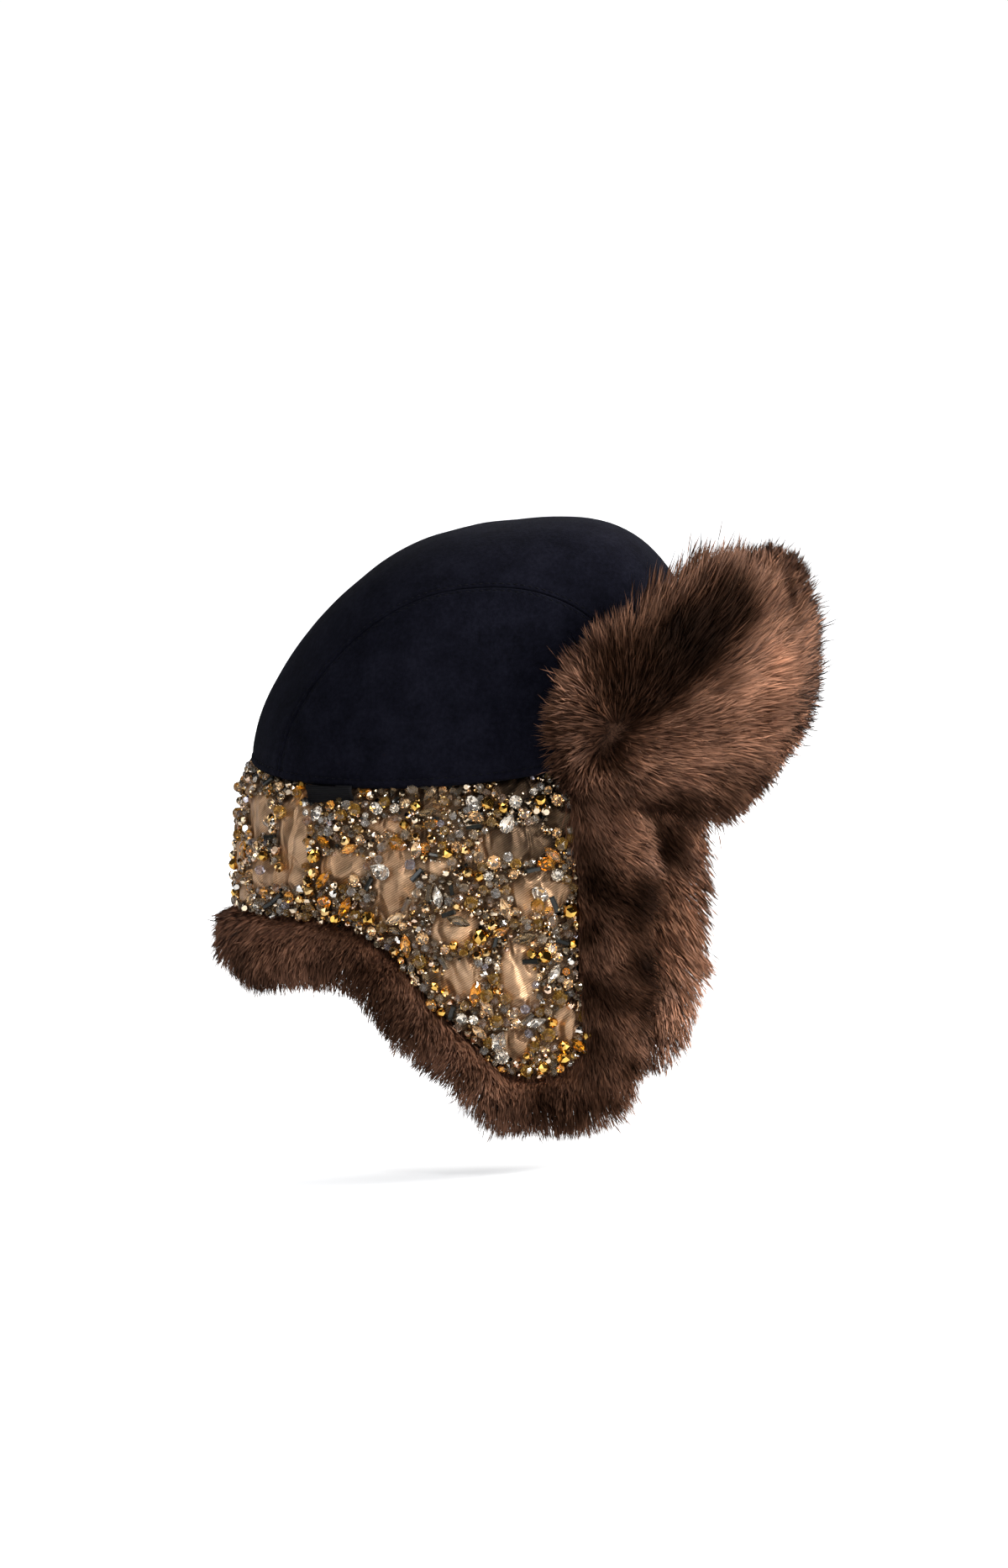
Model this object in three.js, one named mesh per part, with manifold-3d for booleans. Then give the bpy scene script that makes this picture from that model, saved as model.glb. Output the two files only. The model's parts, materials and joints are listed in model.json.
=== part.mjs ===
// A shearling winter hat: a three-panel wool felt crown, a satin band with ear
// flaps, and shearling fur inside, round the edges and on the upturned front flap.
// Millimetres, +Z up. The front of the hat faces -Y and the wearer's right is -X.
// The origin is inside the top of the crown, where the top of a head touches it.

import * as THREE from 'three';
import { mergeVertices } from 'three/addons/utils/BufferGeometryUtils.js';
import Module from 'manifold-3d';

const wasm = await Module();
wasm.setup();

// ---- driving dimensions -------------------------------------------------
const GAP = 0.3; // between neighbouring pieces
const FELT = 2.5; // wall of the wool felt crown, with its hem
const SATIN = 2.4; // wall of satin on suede
const SUEDE = 2.0; // skin of the front flap
const LABEL = { turn: 56.8, width: 23, drop: 6.4, thick: 0.8, lift: 1.0 };

const CROWN = {
  rise: 102, // hem to top, outside
  back: 116, // half length behind the ring's middle, at the hem
  front: 112.5, // half length before it
  side: 90.5, // half width
  middle: 11.5, // the ring's middle lies this far behind the top
  squareness: 2.15, // exponent of the ring's outline, 2 is an ellipse
  backFall: 1.02, // how each half shrinks with the climb, as a power of its cosine
  frontFall: 0.55,
  sideFall: 0.84,
  climb: 1.31, // power of the sine that gives the height
  dip: 13.5, // the hem hangs lower at the ears than at back and front
  strip: 58, // half width of the centre panel
};
const HEM = -(CROWN.rise - FELT); // height of the hem at the back
const TUCK = 6; // the band's top edge is held this far up inside the hem
const PILE = 10; // shearling inside the band

// Half widths of the satin band by its drop below the hem's back.
const BAND = [
  { drop: -8, back: 117, side: 89.0, front: 111 },
  { drop: 0, back: 118, side: 89.5, front: 112 },
  { drop: 14, back: 120.5, side: 91.4, front: 113 },
  { drop: 35, back: 124.5, side: 94.5, front: 114 },
  { drop: 66, back: 129, side: 97.5, front: 115 },
  { drop: 110, back: 130, side: 98, front: 115 },
  { drop: 150, back: 128, side: 95, front: 113 },
  { drop: 185, back: 125, side: 91, front: 111 },
];

// Cut edge of one band and flap, from the centre back round the ear flap and up
// its front edge. turn is the angle round the head in degrees, 0 at the back and
// 90 at the ear; drop is measured down from the hem's back. top is the angle on
// the hem that the same thread starts from, and furTurn and furDrop tell where
// the fur past that point of the edge ends.
const EDGE = [
  { turn: 0, drop: 70, top: 0, furTurn: 0, furDrop: 103 },
  { turn: 22, drop: 69, top: 22, furTurn: 22, furDrop: 103 },
  { turn: 41, drop: 71, top: 41, furTurn: 40, furDrop: 103 },
  { turn: 55, drop: 72.6, top: 50, furTurn: 51, furDrop: 102 },
  { turn: 65.6, drop: 79, top: 57, furTurn: 58.5, furDrop: 103 },
  { turn: 70.2, drop: 87, top: 61, furTurn: 63, furDrop: 109 },
  { turn: 74.6, drop: 96, top: 65, furTurn: 66.5, furDrop: 119 },
  { turn: 79.3, drop: 112, top: 68.5, furTurn: 70, furDrop: 130 },
  { turn: 83.9, drop: 125, top: 72, furTurn: 76, furDrop: 140 },
  { turn: 88.8, drop: 137, top: 75, furTurn: 82, furDrop: 153 },
  { turn: 92, drop: 146, top: 78, furTurn: 87, furDrop: 168 },
  { turn: 95.7, drop: 151.5, top: 81, furTurn: 92, furDrop: 176 },
  { turn: 101.6, drop: 153.5, top: 84.5, furTurn: 101, furDrop: 177 },
  { turn: 107.6, drop: 151.5, top: 88, furTurn: 111, furDrop: 178 },
  { turn: 112.8, drop: 144.5, top: 91.5, furTurn: 121, furDrop: 176 },
  { turn: 115.8, drop: 132, top: 95, furTurn: 127, furDrop: 160 },
  { turn: 115.4, drop: 119, top: 98, furTurn: 129, furDrop: 138 },
  { turn: 114.2, drop: 107, top: 101, furTurn: 131, furDrop: 116 },
  { turn: 115, drop: 88, top: 104, furTurn: 133.5, furDrop: 92 },
  { turn: 115.9, drop: 68, top: 107, furTurn: 136, furDrop: 72 },
  { turn: 116.5, drop: 46, top: 110, furTurn: 138, furDrop: 54 },
  { turn: 116.3, drop: 28, top: 112.8, furTurn: 139, furDrop: 38 },
  { turn: 116.1, drop: 21, top: 114.2, furTurn: 138.4, furDrop: 32 },
  { turn: 115.7, drop: 16, top: 115, furTurn: 137.4, furDrop: 28 },
];

// Section of the fur past the cut edge: reach is the share of the way to the
// fur's end, outer and inner are distances from the satin's face.
const TRIM = [
  { reach: 0.04, outer: -4.4, inner: -14 },
  { reach: 0.14, outer: 3.2, inner: -15 },
  { reach: 0.28, outer: 8.5, inner: -17 },
  { reach: 0.5, outer: 9.5, inner: -18 },
  { reach: 0.75, outer: 7.0, inner: -16 },
  { reach: 0.92, outer: 2.5, inner: -11 },
  { reach: 1.0, outer: -3.5, inner: -6 },
];
const NAPE = { swell: 1.6, until: 75 }; // the trim is fuller at the back of the head

// The front flap by station, from its middle to its end at the temple: angle
// round the head, height of the suede, how far its top stands out, thickness of
// the fur on it, how far the fur reaches above it, and how far the fur below
// its fold hangs under the hem's back.
const VISOR = [
  { at: 0.0, turn: 180, height: 58, lean: 21, fur: 30, above: 21, lip: 43 },
  { at: 0.2, turn: 169, height: 58, lean: 21, fur: 30, above: 21, lip: 46 },
  { at: 0.4, turn: 157, height: 56, lean: 21, fur: 29, above: 21, lip: 57 },
  { at: 0.6, turn: 145, height: 52, lean: 19, fur: 27, above: 20, lip: 56 },
  { at: 0.75, turn: 135, height: 47, lean: 16, fur: 24, above: 19, lip: 42 },
  { at: 0.88, turn: 126, height: 39, lean: 12, fur: 21, above: 17, lip: 30 },
  { at: 0.96, turn: 120.5, height: 30, lean: 8, fur: 17, above: 14, lip: 22 },
  { at: 1.0, turn: 117.5, height: 22, lean: 6, fur: 12, above: 10, lip: 15 },
];

// The section of the front flap, as shares: lean and rise of the suede's line,
// and of the fur's outline before it (out in fur thicknesses, up in heights).
const SKIN_LINE = [
  { rise: 0.0, lean: 0.04 },
  { rise: 0.12, lean: 0.33 },
  { rise: 0.3, lean: 0.68 },
  { rise: 0.55, lean: 0.9 },
  { rise: 0.8, lean: 0.98 },
  { rise: 1.0, lean: 1.0 },
];

// ---- small tools --------------------------------------------------------
const rad = (deg) => (deg * Math.PI) / 180;
const mix = (a, b, k) => a + (b - a) * k;
const smooth = (a, b, x) => {
  const k = Math.min(1, Math.max(0, (x - a) / (b - a)));
  return k * k * (3 - 2 * k);
};

// Catmull-Rom value of a table's column where the table's key equals x.
function read(table, key, x, column) {
  const last = table.length - 1;
  let i = 0;
  while (i < last - 1 && x > table[i + 1][key]) i += 1;
  const a = table[Math.max(0, i - 1)][column];
  const b = table[i][column];
  const c = table[i + 1][column];
  const d = table[Math.min(last, i + 2)][column];
  const k = Math.min(1, Math.max(0, (x - table[i][key]) / (table[i + 1][key] - table[i][key])));
  const k2 = k * k;
  const k3 = k2 * k;
  return 0.5 * (2 * b + (c - a) * k + (2 * a - 5 * b + 4 * c - d) * k2 + (3 * b - a - 3 * c + d) * k3);
}

// The same for a table read by row number.
function row(table, i, column) {
  return read(table.map((r, n) => ({ n, v: r[column] })), 'n', i, 'v');
}

// Unit outline of the ring at an angle: 0 back, 90 right ear, 180 front.
function ring(turn) {
  const c = Math.cos(turn);
  const s = Math.sin(turn);
  const m = (Math.abs(c) ** CROWN.squareness + Math.abs(s) ** CROWN.squareness) ** (-1 / CROWN.squareness);
  return [c * m, s * m];
}

const hemDrop = (turn) => CROWN.dip * Math.abs(Math.sin(turn)) ** 1.5;

function crownPoint(turn, climb, inset) {
  const [c, s] = ring(turn);
  const co = Math.max(0, Math.cos(climb));
  const si = Math.sin(climb);
  const half = c > 0 ? (CROWN.back - inset) * co ** CROWN.backFall : (CROWN.front - inset) * co ** CROWN.frontFall;
  const side = (CROWN.side - inset) * co ** CROWN.sideFall;
  return [
    -side * s,
    CROWN.middle * (1 - si * si) + half * c,
    HEM + (CROWN.rise - inset) * si ** CROWN.climb - hemDrop(turn) * (1 - si) ** 1.5,
  ];
}

// A point on the band: out is the distance outside the satin's face.
function bandPoint(turn, drop, out) {
  const [c, s] = ring(turn);
  const tucked = 5.8 * (1 - smooth(0.4, 11, drop - hemDrop(turn)));
  const half = read(BAND, 'drop', drop, c > 0 ? 'back' : 'front') + out - tucked;
  const side = read(BAND, 'drop', drop, 'side') + out - tucked;
  return [-side * s, CROWN.middle + half * c, HEM - drop];
}

// The end of a loft whose loop runs out along one side and back along the other.
function capFaces(n) {
  const faces = [];
  for (let j = 0; j < n / 2 - 1; j += 1) faces.push([j, j + 1, n - 2 - j], [j, n - 2 - j, n - 1 - j]);
  return faces;
}

function volume(points, faces) {
  const [a, b, c] = [new THREE.Vector3(), new THREE.Vector3(), new THREE.Vector3()];
  return faces.reduce((sum, f) => {
    a.set(...points[f[0]]);
    b.set(...points[f[1]]);
    c.set(...points[f[2]]);
    return sum + a.dot(b.cross(c)) / 6;
  }, 0);
}

function geometryOf(points, faces) {
  const turned = volume(points, faces) < 0 ? faces.map((f) => [f[0], f[2], f[1]]) : faces;
  const g = new THREE.BufferGeometry();
  g.setAttribute('position', new THREE.Float32BufferAttribute(points.flat(), 3));
  g.setIndex(turned.flat());
  return g;
}

// A solid through a row of closed loops with the same even number of points.
function loft(loops) {
  const n = loops[0].length;
  const points = loops.flat();
  const faces = [];
  for (let i = 0; i < loops.length - 1; i += 1) {
    for (let j = 0; j < n; j += 1) {
      const k = (j + 1) % n;
      const [a, b, c, d] = [i * n + j, i * n + k, (i + 1) * n + k, (i + 1) * n + j];
      faces.push([a, b, c], [a, c, d]);
    }
  }
  const base = (loops.length - 1) * n;
  capFaces(n).forEach((f) => faces.push([f[2], f[1], f[0]], [base + f[0], base + f[1], base + f[2]]));
  return geometryOf(points, faces);
}

function solid(geometry) {
  const g = geometry.clone();
  g.deleteAttribute('normal');
  g.deleteAttribute('uv');
  const m = mergeVertices(g, 1e-3);
  return new wasm.Manifold(
    new wasm.Mesh({
      numProp: 3,
      vertProperties: new Float32Array(m.attributes.position.array),
      triVerts: new Uint32Array(m.index.array),
    }),
  );
}

function geometryFrom(manifold) {
  const m = manifold.getMesh();
  const g = new THREE.BufferGeometry();
  const flat = [];
  for (let i = 0; i < m.numVert; i += 1) flat.push(...m.vertProperties.slice(i * m.numProp, i * m.numProp + 3));
  g.setAttribute('position', new THREE.Float32BufferAttribute(flat, 3));
  g.setIndex([...m.triVerts]);
  return g;
}

function slab(x0, x1) {
  const g = new THREE.BoxGeometry(x1 - x0, 600, 600);
  g.translate((x0 + x1) / 2, 0, 0);
  return solid(g);
}

function mirrored(geometry) {
  const g = geometry.clone();
  const p = g.attributes.position;
  for (let i = 0; i < p.count; i += 1) p.setX(i, -p.getX(i));
  const idx = [...g.index.array];
  for (let i = 0; i < idx.length; i += 3) [idx[i + 1], idx[i + 2]] = [idx[i + 2], idx[i + 1]];
  g.setIndex(idx);
  return g;
}

// ---- crown --------------------------------------------------------------
const TURNS = 40;
const CLIMBS = [0, 5, 12, 21, 31, 42, 53, 64, 74, 83];

function crownShell() {
  const points = [];
  const faces = [];
  const layer = (inset) => CLIMBS.map((climb) => {
    const start = points.length;
    for (let i = 0; i < TURNS; i += 1) points.push(crownPoint((2 * Math.PI * i) / TURNS, rad(climb), inset));
    return start;
  });
  const join = (a, b) => {
    for (let i = 0; i < TURNS; i += 1) {
      const k = (i + 1) % TURNS;
      faces.push([a + i, a + k, b + k], [a + i, b + k, b + i]);
    }
  };
  const outer = layer(0);
  const inner = layer(FELT);
  for (let i = 0; i < CLIMBS.length - 1; i += 1) {
    join(outer[i], outer[i + 1]);
    join(inner[i + 1], inner[i]);
  }
  join(inner[0], outer[0]);
  const tops = [outer, inner].map((l, n) => {
    points.push(crownPoint(0, Math.PI / 2, n * FELT));
    return [l[l.length - 1], points.length - 1];
  });
  tops.forEach(([a, top], n) => {
    for (let i = 0; i < TURNS; i += 1) {
      const k = (i + 1) % TURNS;
      faces.push(n ? [a + k, a + i, top] : [a + i, a + k, top]);
    }
  });
  return geometryOf(points, faces);
}

const crown = solid(crownShell());
const half = CROWN.strip;
const centerPanel = geometryFrom(crown.intersect(slab(-half + GAP / 2, half - GAP / 2)));
const sideRight = geometryFrom(crown.intersect(slab(-300, -half - GAP / 2)));

// ---- satin band and its fur ---------------------------------------------
const STATIONS = 36;
const BACK_GAP = GAP / 2 / 100; // radians that keep the two halves apart at the back

function station(i) {
  const n = (i / STATIONS) * (EDGE.length - 1);
  const at = (column) => row(EDGE, n, column);
  const edge = { turn: Math.max(BACK_GAP, rad(at('turn'))), drop: at('drop') };
  const topTurn = Math.max(BACK_GAP, rad(at('top')));
  const top = { turn: topTurn, drop: hemDrop(topTurn) - TUCK };
  const fur = { turn: Math.max(BACK_GAP, rad(at('furTurn'))), drop: at('furDrop') };
  return { top, edge, fur };
}

const between = (a, b, k, out) => bandPoint(mix(a.turn, b.turn, k), mix(a.drop, b.drop, k), out);

function satinPanel() {
  const shares = [0, 0.09, 0.2, 0.45, 0.72, 1];
  const loops = [];
  for (let i = 0; i <= STATIONS; i += 1) {
    const { top, edge } = station(i);
    loops.push([
      ...shares.map((k) => between(top, edge, k, 0)),
      ...shares.toReversed().map((k) => between(top, edge, k, -SATIN)),
    ]);
  }
  return loft(loops);
}

function furPanel() {
  const shares = [0, 0.09, 0.2, 0.45, 0.72];
  const under = -SATIN - 1.4;
  const loops = [];
  for (let i = 0; i <= STATIONS; i += 1) {
    const { top, edge, fur } = station(i);
    const slack = under - 2 * smooth(STATIONS - 8, STATIONS - 2, i); // the corner under the hem is bent most
    const outside = shares.map((k) => between(top, edge, k, slack));
    const inside = shares.map((k) => between(top, edge, k, under - PILE - 1 * k));
    const swell = mix(NAPE.swell, 1, smooth(0, NAPE.until, (edge.turn * 180) / Math.PI));
    const trimOut = TRIM.map((t) => between(edge, fur, t.reach, t.outer > 0 ? t.outer * swell : t.outer));
    const trimIn = TRIM.map((t) => between(edge, fur, t.reach, t.inner));
    loops.push([...outside, ...trimOut, ...trimIn.reverse(), ...inside.reverse()]);
  }
  return loft(loops);
}

function labelTab() {
  const loops = [];
  const reach = LABEL.width / 2 / 100;
  for (let i = 0; i <= 8; i += 1) {
    const turn = rad(LABEL.turn) + mix(-reach, reach, i / 8);
    const from = hemDrop(turn) + 0.5;
    const to = hemDrop(rad(LABEL.turn)) + LABEL.drop;
    const rows = [0, 0.5, 1];
    loops.push([
      ...rows.map((k) => bandPoint(turn, mix(from, to, k), LABEL.lift)),
      ...rows.toReversed().map((k) => bandPoint(turn, mix(from, to, k), LABEL.lift + LABEL.thick)),
    ]);
  }
  return loft(loops);
}

// ---- upturned front flap --------------------------------------------------
const VISOR_STEPS = 24;

// Local frame of a station: a point of the hem's outside, and the way out.
function visorFrame(side) {
  const at = Math.abs(side);
  const turn = rad(read(VISOR, 'at', at, 'turn'));
  const here = crownPoint(turn, 0, 0);
  const next = crownPoint(turn + 0.01, 0, 0);
  const out = new THREE.Vector2(-(next[1] - here[1]), next[0] - here[0]).normalize();
  if (out.x * here[0] + out.y * (here[1] - CROWN.middle) < 0) out.negate();
  const flip = side > 0 ? -1 : 1;
  const get = (column) => read(VISOR, 'at', at, column);
  const place = (p, h) => [flip * (here[0] + out.x * p), here[1] + out.y * p, here[2] + h];
  return { get, place, hem: here[2] };
}

function skinLine(frame, offset) {
  return SKIN_LINE.map((s) => {
    const p = 0.5 + frame.get('lean') * s.lean + offset;
    const h = -2.5 + (frame.get('height') + 2.5) * s.rise - offset * 0.35 * (1 - s.rise);
    return [p, h];
  });
}

function visorSkin() {
  const loops = [];
  for (let i = 0; i <= VISOR_STEPS; i += 1) {
    const side = mix(-0.985, 0.985, i / VISOR_STEPS);
    const f = visorFrame(side);
    loops.push([...skinLine(f, 0), ...skinLine(f, SUEDE).reverse()].map(([p, h]) => f.place(p, h)));
  }
  return loft(loops);
}

function visorFur(grow) {
  const loops = [];
  for (let i = 0; i <= VISOR_STEPS; i += 1) {
    const side = mix(-1, 1, i / VISOR_STEPS);
    const f = visorFrame(side);
    const H = f.get('height');
    const F = f.get('fur');
    const A = f.get('above');
    const L = f.get('lean');
    const lip = f.hem - HEM + f.get('lip'); // depth of the lip under this part of the hem
    const face = skinLine(f, SUEDE + GAP + 0.1 - grow);
    const outline = [
      [L + 0.1 * F, H + 0.62 * A],
      [L + 0.32 * F, H + A],
      [L + 0.62 * F, H + 0.82 * A],
      [L + 0.9 * F, H + 0.3 * A],
      [L * 0.98 + F, H * 0.66],
      [L * 0.86 + F, H * 0.34],
      [L * 0.6 + F * 0.92, 0.02 * H - 0.05 * lip],
      [L * 0.32 + F * 0.74, -0.4 * lip],
      [L * 0.14 + F * 0.44, -0.78 * lip],
      [F * 0.14, -0.99 * lip],
      [-F * 0.2, -0.93 * lip],
      [-F * 0.36, -0.6 * lip],
      [-F * 0.34, -0.28 * lip],
      [-F * 0.12, -4.2],
    ];
    const grown = outline.map(([p, h], j) => [p + (j > 9 ? -grow : grow), h + (j < 4 ? grow : j > 6 && j < 13 ? -grow : 0)]);
    loops.push([...grown.slice(1), ...face, grown[0]].map(([p, h]) => f.place(p, h)));
  }
  return loft(loops);
}

const visorFurShape = visorFur(0);
const visorSkinShape = visorSkin();
// The visor's fur lies over the fur of the ear flap, so the flap's gives way to it.
const largest = (manifold) => manifold.decompose().sort((a, b) => b.volume() - a.volume())[0];
const furRight = geometryFrom(largest(solid(furPanel()).subtract(solid(visorFur(0.5)))));
const satinRight = satinPanel();

// ---- the assembly ---------------------------------------------------------
const LOOK = {
  felt: { color: 0x0d0f1c, roughness: 0.9, metalness: 0 },
  satin: { color: 0x8a6c45, roughness: 0.38, metalness: 0.15 },
  fur: { color: 0x6e4b3a, roughness: 0.95, metalness: 0 },
  suede: { color: 0x3d2a20, roughness: 0.9, metalness: 0 },
  label: { color: 0x0a0a0c, roughness: 0.8, metalness: 0 },
};

const hat = new THREE.Group();
function add(name, geometry, look) {
  const mesh = new THREE.Mesh(geometry, new THREE.MeshStandardMaterial(LOOK[look]));
  mesh.name = name;
  hat.add(mesh);
}

add('crown_center_panel', centerPanel, 'felt');
add('crown_side_right', sideRight, 'felt');
add('crown_side_left', mirrored(sideRight), 'felt');
add('satin_band_right', satinRight, 'satin');
add('satin_band_left', mirrored(satinRight), 'satin');
add('label_tab', labelTab(), 'label');
add('fur_flap_right', furRight, 'fur');
add('fur_flap_left', mirrored(furRight), 'fur');
add('visor_fur', visorFurShape, 'fur');
add('visor_skin', visorSkinShape, 'suede');

export default hat;
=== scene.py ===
"""A shearling winter hat, as it looks: felt crown, satin bands paved with stones,
shearling round the flaps and long fur on the upturned front flap.

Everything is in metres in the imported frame; the tables below are in millimetres
and are the same as the solids' own. The front of the hat faces -Y, the wearer's
right is -X.
"""

import json
import math

import bpy
import numpy as np
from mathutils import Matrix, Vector
from mathutils.kdtree import KDTree

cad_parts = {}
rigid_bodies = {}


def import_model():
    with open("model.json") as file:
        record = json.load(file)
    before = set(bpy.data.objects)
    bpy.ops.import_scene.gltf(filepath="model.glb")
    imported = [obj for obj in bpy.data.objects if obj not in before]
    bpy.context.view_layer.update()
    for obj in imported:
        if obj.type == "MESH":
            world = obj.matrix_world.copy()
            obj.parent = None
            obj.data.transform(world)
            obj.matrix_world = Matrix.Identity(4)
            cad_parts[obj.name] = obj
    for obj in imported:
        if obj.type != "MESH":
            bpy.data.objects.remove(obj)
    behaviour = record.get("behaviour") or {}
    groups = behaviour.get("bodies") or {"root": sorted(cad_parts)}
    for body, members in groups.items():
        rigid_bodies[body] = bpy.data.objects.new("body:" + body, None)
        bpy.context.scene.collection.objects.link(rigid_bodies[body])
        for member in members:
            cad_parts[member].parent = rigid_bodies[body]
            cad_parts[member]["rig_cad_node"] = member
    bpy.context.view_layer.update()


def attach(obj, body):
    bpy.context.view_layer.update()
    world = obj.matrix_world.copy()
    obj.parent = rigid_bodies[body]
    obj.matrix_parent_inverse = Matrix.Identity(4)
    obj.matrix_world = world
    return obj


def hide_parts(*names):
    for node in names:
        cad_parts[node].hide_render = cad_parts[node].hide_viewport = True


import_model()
MM = 0.001

# ---------------------------------------------------------------- the hat's form
RISE, BACK, FRONT, SIDE, MIDDLE = 102.0, 116.0, 112.5, 90.5, 11.5
SQUARE, BACK_FALL, FRONT_FALL, SIDE_FALL, CLIMB = 2.15, 1.02, 0.55, 0.84, 1.31
DIP, STRIP, FELT, SATIN, SUEDE, PILE, TUCK = 13.5, 58.0, 2.5, 2.4, 2.0, 10.0, 6.0
HEM = -(RISE - FELT)

BAND_COLUMNS = ("drop", "back", "side", "front")
BAND_ROWS = [
    (-8, 117, 89.0, 111), (0, 118, 89.5, 112), (14, 120.5, 91.4, 113), (35, 124.5, 94.5, 114),
    (66, 129, 97.5, 115), (110, 130, 98, 115), (150, 128, 95, 113), (185, 125, 91, 111),
]
EDGE_COLUMNS = ("turn", "drop", "top", "fur_turn", "fur_drop")
EDGE_ROWS = [
    (0, 70, 0, 0, 103), (22, 69, 22, 22, 103), (41, 71, 41, 40, 103), (55, 72.6, 50, 51, 102),
    (65.6, 79, 57, 58.5, 103), (70.2, 87, 61, 63, 109), (74.6, 96, 65, 66.5, 119), (79.3, 112, 68.5, 70, 130),
    (83.9, 125, 72, 76, 140), (88.8, 137, 75, 82, 153), (92, 146, 78, 87, 168), (95.7, 151.5, 81, 92, 176),
    (101.6, 153.5, 84.5, 101, 177), (107.6, 151.5, 88, 111, 178), (112.8, 144.5, 91.5, 121, 176),
    (115.8, 132, 95, 127, 160), (115.4, 119, 98, 129, 138), (114.2, 107, 101, 131, 116), (115, 88, 104, 133.5, 92),
    (115.9, 68, 107, 136, 72), (116.5, 46, 110, 138, 54), (116.3, 28, 112.8, 139, 38), (116.1, 21, 114.2, 138.4, 32),
    (115.7, 16, 115, 137.4, 28),
]
VISOR_COLUMNS = ("at", "turn", "height", "lean", "fur", "above", "lip")
VISOR_ROWS = [
    (0.0, 180, 58, 21, 30, 21, 43), (0.2, 169, 58, 21, 30, 21, 46), (0.4, 157, 56, 21, 29, 21, 57),
    (0.6, 145, 52, 19, 27, 20, 56), (0.75, 135, 47, 16, 24, 19, 42), (0.88, 126, 39, 12, 21, 17, 30),
    (0.96, 120.5, 30, 8, 17, 14, 22), (1.0, 117.5, 22, 6, 12, 10, 15),
]
SKIN_ROWS = [(0.0, 0.04), (0.12, 0.33), (0.3, 0.68), (0.55, 0.9), (0.8, 0.98), (1.0, 1.0)]  # rise, lean
# The hide under the fur past the satin's edge: share of the reach, outer and inner distance.
HIDE_ROWS = [(0.03, -2.8, -13.5), (0.12, 1.3, -14), (0.26, 4.4, -14.5), (0.42, 5.2, -14.5), (0.56, 4.2, -13.5),
             (0.66, 1.2, -11.5), (0.73, -3.0, -8.5)]


def table(columns, rows):
    return {c: np.array([r[i] for r in rows], float) for i, c in enumerate(columns)}


BAND = table(BAND_COLUMNS, BAND_ROWS)
EDGE = table(EDGE_COLUMNS, EDGE_ROWS)
VISOR = table(VISOR_COLUMNS, VISOR_ROWS)


# ---------------------------------------------------------------- small tools
def smooth(a, b, x):
    k = np.clip((np.asarray(x, float) - a) / (b - a), 0, 1)
    return k * k * (3 - 2 * k)


def mix(a, b, k):
    return a + (b - a) * k


def read(keys, values, x):
    """Catmull-Rom value of a table's column at x."""
    x = np.asarray(x, float)
    i = np.clip(np.searchsorted(keys, x, side="left") - 1, 0, len(keys) - 2)
    a, b = values[np.maximum(i - 1, 0)], values[i]
    c, d = values[i + 1], values[np.minimum(i + 2, len(keys) - 1)]
    k = np.clip((x - keys[i]) / (keys[i + 1] - keys[i]), 0, 1)
    return 0.5 * (2 * b + (c - a) * k + (2 * a - 5 * b + 4 * c - d) * k**2 + (3 * b - a - 3 * c + d) * k**3)


def unit(v):
    return v / np.maximum(np.linalg.norm(v, axis=-1, keepdims=True), 1e-12)


def hashed(ix, iy, iz, seed):
    n = (ix * 374761393 + iy * 668265263 + iz * 1442695041 + seed * 1274126177) & 0xFFFFFFFF
    n = ((n ^ (n >> 13)) * 1274126177) & 0xFFFFFFFF
    return ((n ^ (n >> 16)) & 0xFFFF) / 65535.0


def noise(p, scale, seed):
    """Smooth value noise from 0 to 1 at points p, with cells of scale millimetres."""
    q = np.asarray(p, float) / scale
    i = np.floor(q).astype(np.int64)
    f = q - i
    u = f * f * (3 - 2 * f)
    total = 0
    for dx in (0, 1):
        for dy in (0, 1):
            for dz in (0, 1):
                w = (u[..., 0] if dx else 1 - u[..., 0]) * (u[..., 1] if dy else 1 - u[..., 1]) * (u[..., 2] if dz else 1 - u[..., 2])
                total = total + w * hashed(i[..., 0] + dx, i[..., 1] + dy, i[..., 2] + dz, seed)
    return total


def ring(turn):
    c, s = np.cos(turn), np.sin(turn)
    m = (np.abs(c) ** SQUARE + np.abs(s) ** SQUARE) ** (-1 / SQUARE)
    return c * m, s * m


def hem_drop(turn):
    return DIP * np.abs(np.sin(turn)) ** 1.5


def crown_point(turn, climb, inset=0.0):
    c, s = ring(turn)
    co, si = np.maximum(np.cos(climb), 0), np.sin(climb)
    half = np.where(c > 0, (BACK - inset) * co**BACK_FALL, (FRONT - inset) * co**FRONT_FALL)
    side = (SIDE - inset) * co**SIDE_FALL
    return np.stack([-side * s, MIDDLE * (1 - si * si) + half * c,
                     HEM + (RISE - inset) * si**CLIMB - hem_drop(turn) * (1 - si) ** 1.5], -1)


def band_point(turn, drop, out=0.0):
    c, s = ring(turn)
    tucked = 5.8 * (1 - smooth(0.4, 11, drop - hem_drop(turn)))
    back, front, side = (read(BAND["drop"], BAND[k], drop) for k in ("back", "front", "side"))
    half = np.where(c > 0, back, front) + out - tucked
    return np.stack([-(side + out - tucked) * s, MIDDLE + half * c, HEM - drop + 0 * s], -1)


def station(share):
    """The thread of the band at a share of its edge: (turn, drop) on top, at the edge and at the fur's end."""
    n = np.asarray(share, float) * (len(EDGE_ROWS) - 1)
    rows = np.arange(len(EDGE_ROWS), dtype=float)
    g = {k: read(rows, EDGE[k], n) for k in EDGE_COLUMNS}
    low = 0.0015
    edge = np.stack([np.maximum(low, np.radians(g["turn"])), g["drop"]], -1)
    top_turn = np.maximum(low, np.radians(g["top"]))
    top = np.stack([top_turn, hem_drop(top_turn) - TUCK], -1)
    fur = np.stack([np.maximum(low, np.radians(g["fur_turn"])), g["fur_drop"]], -1)
    return top, edge, fur


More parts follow.
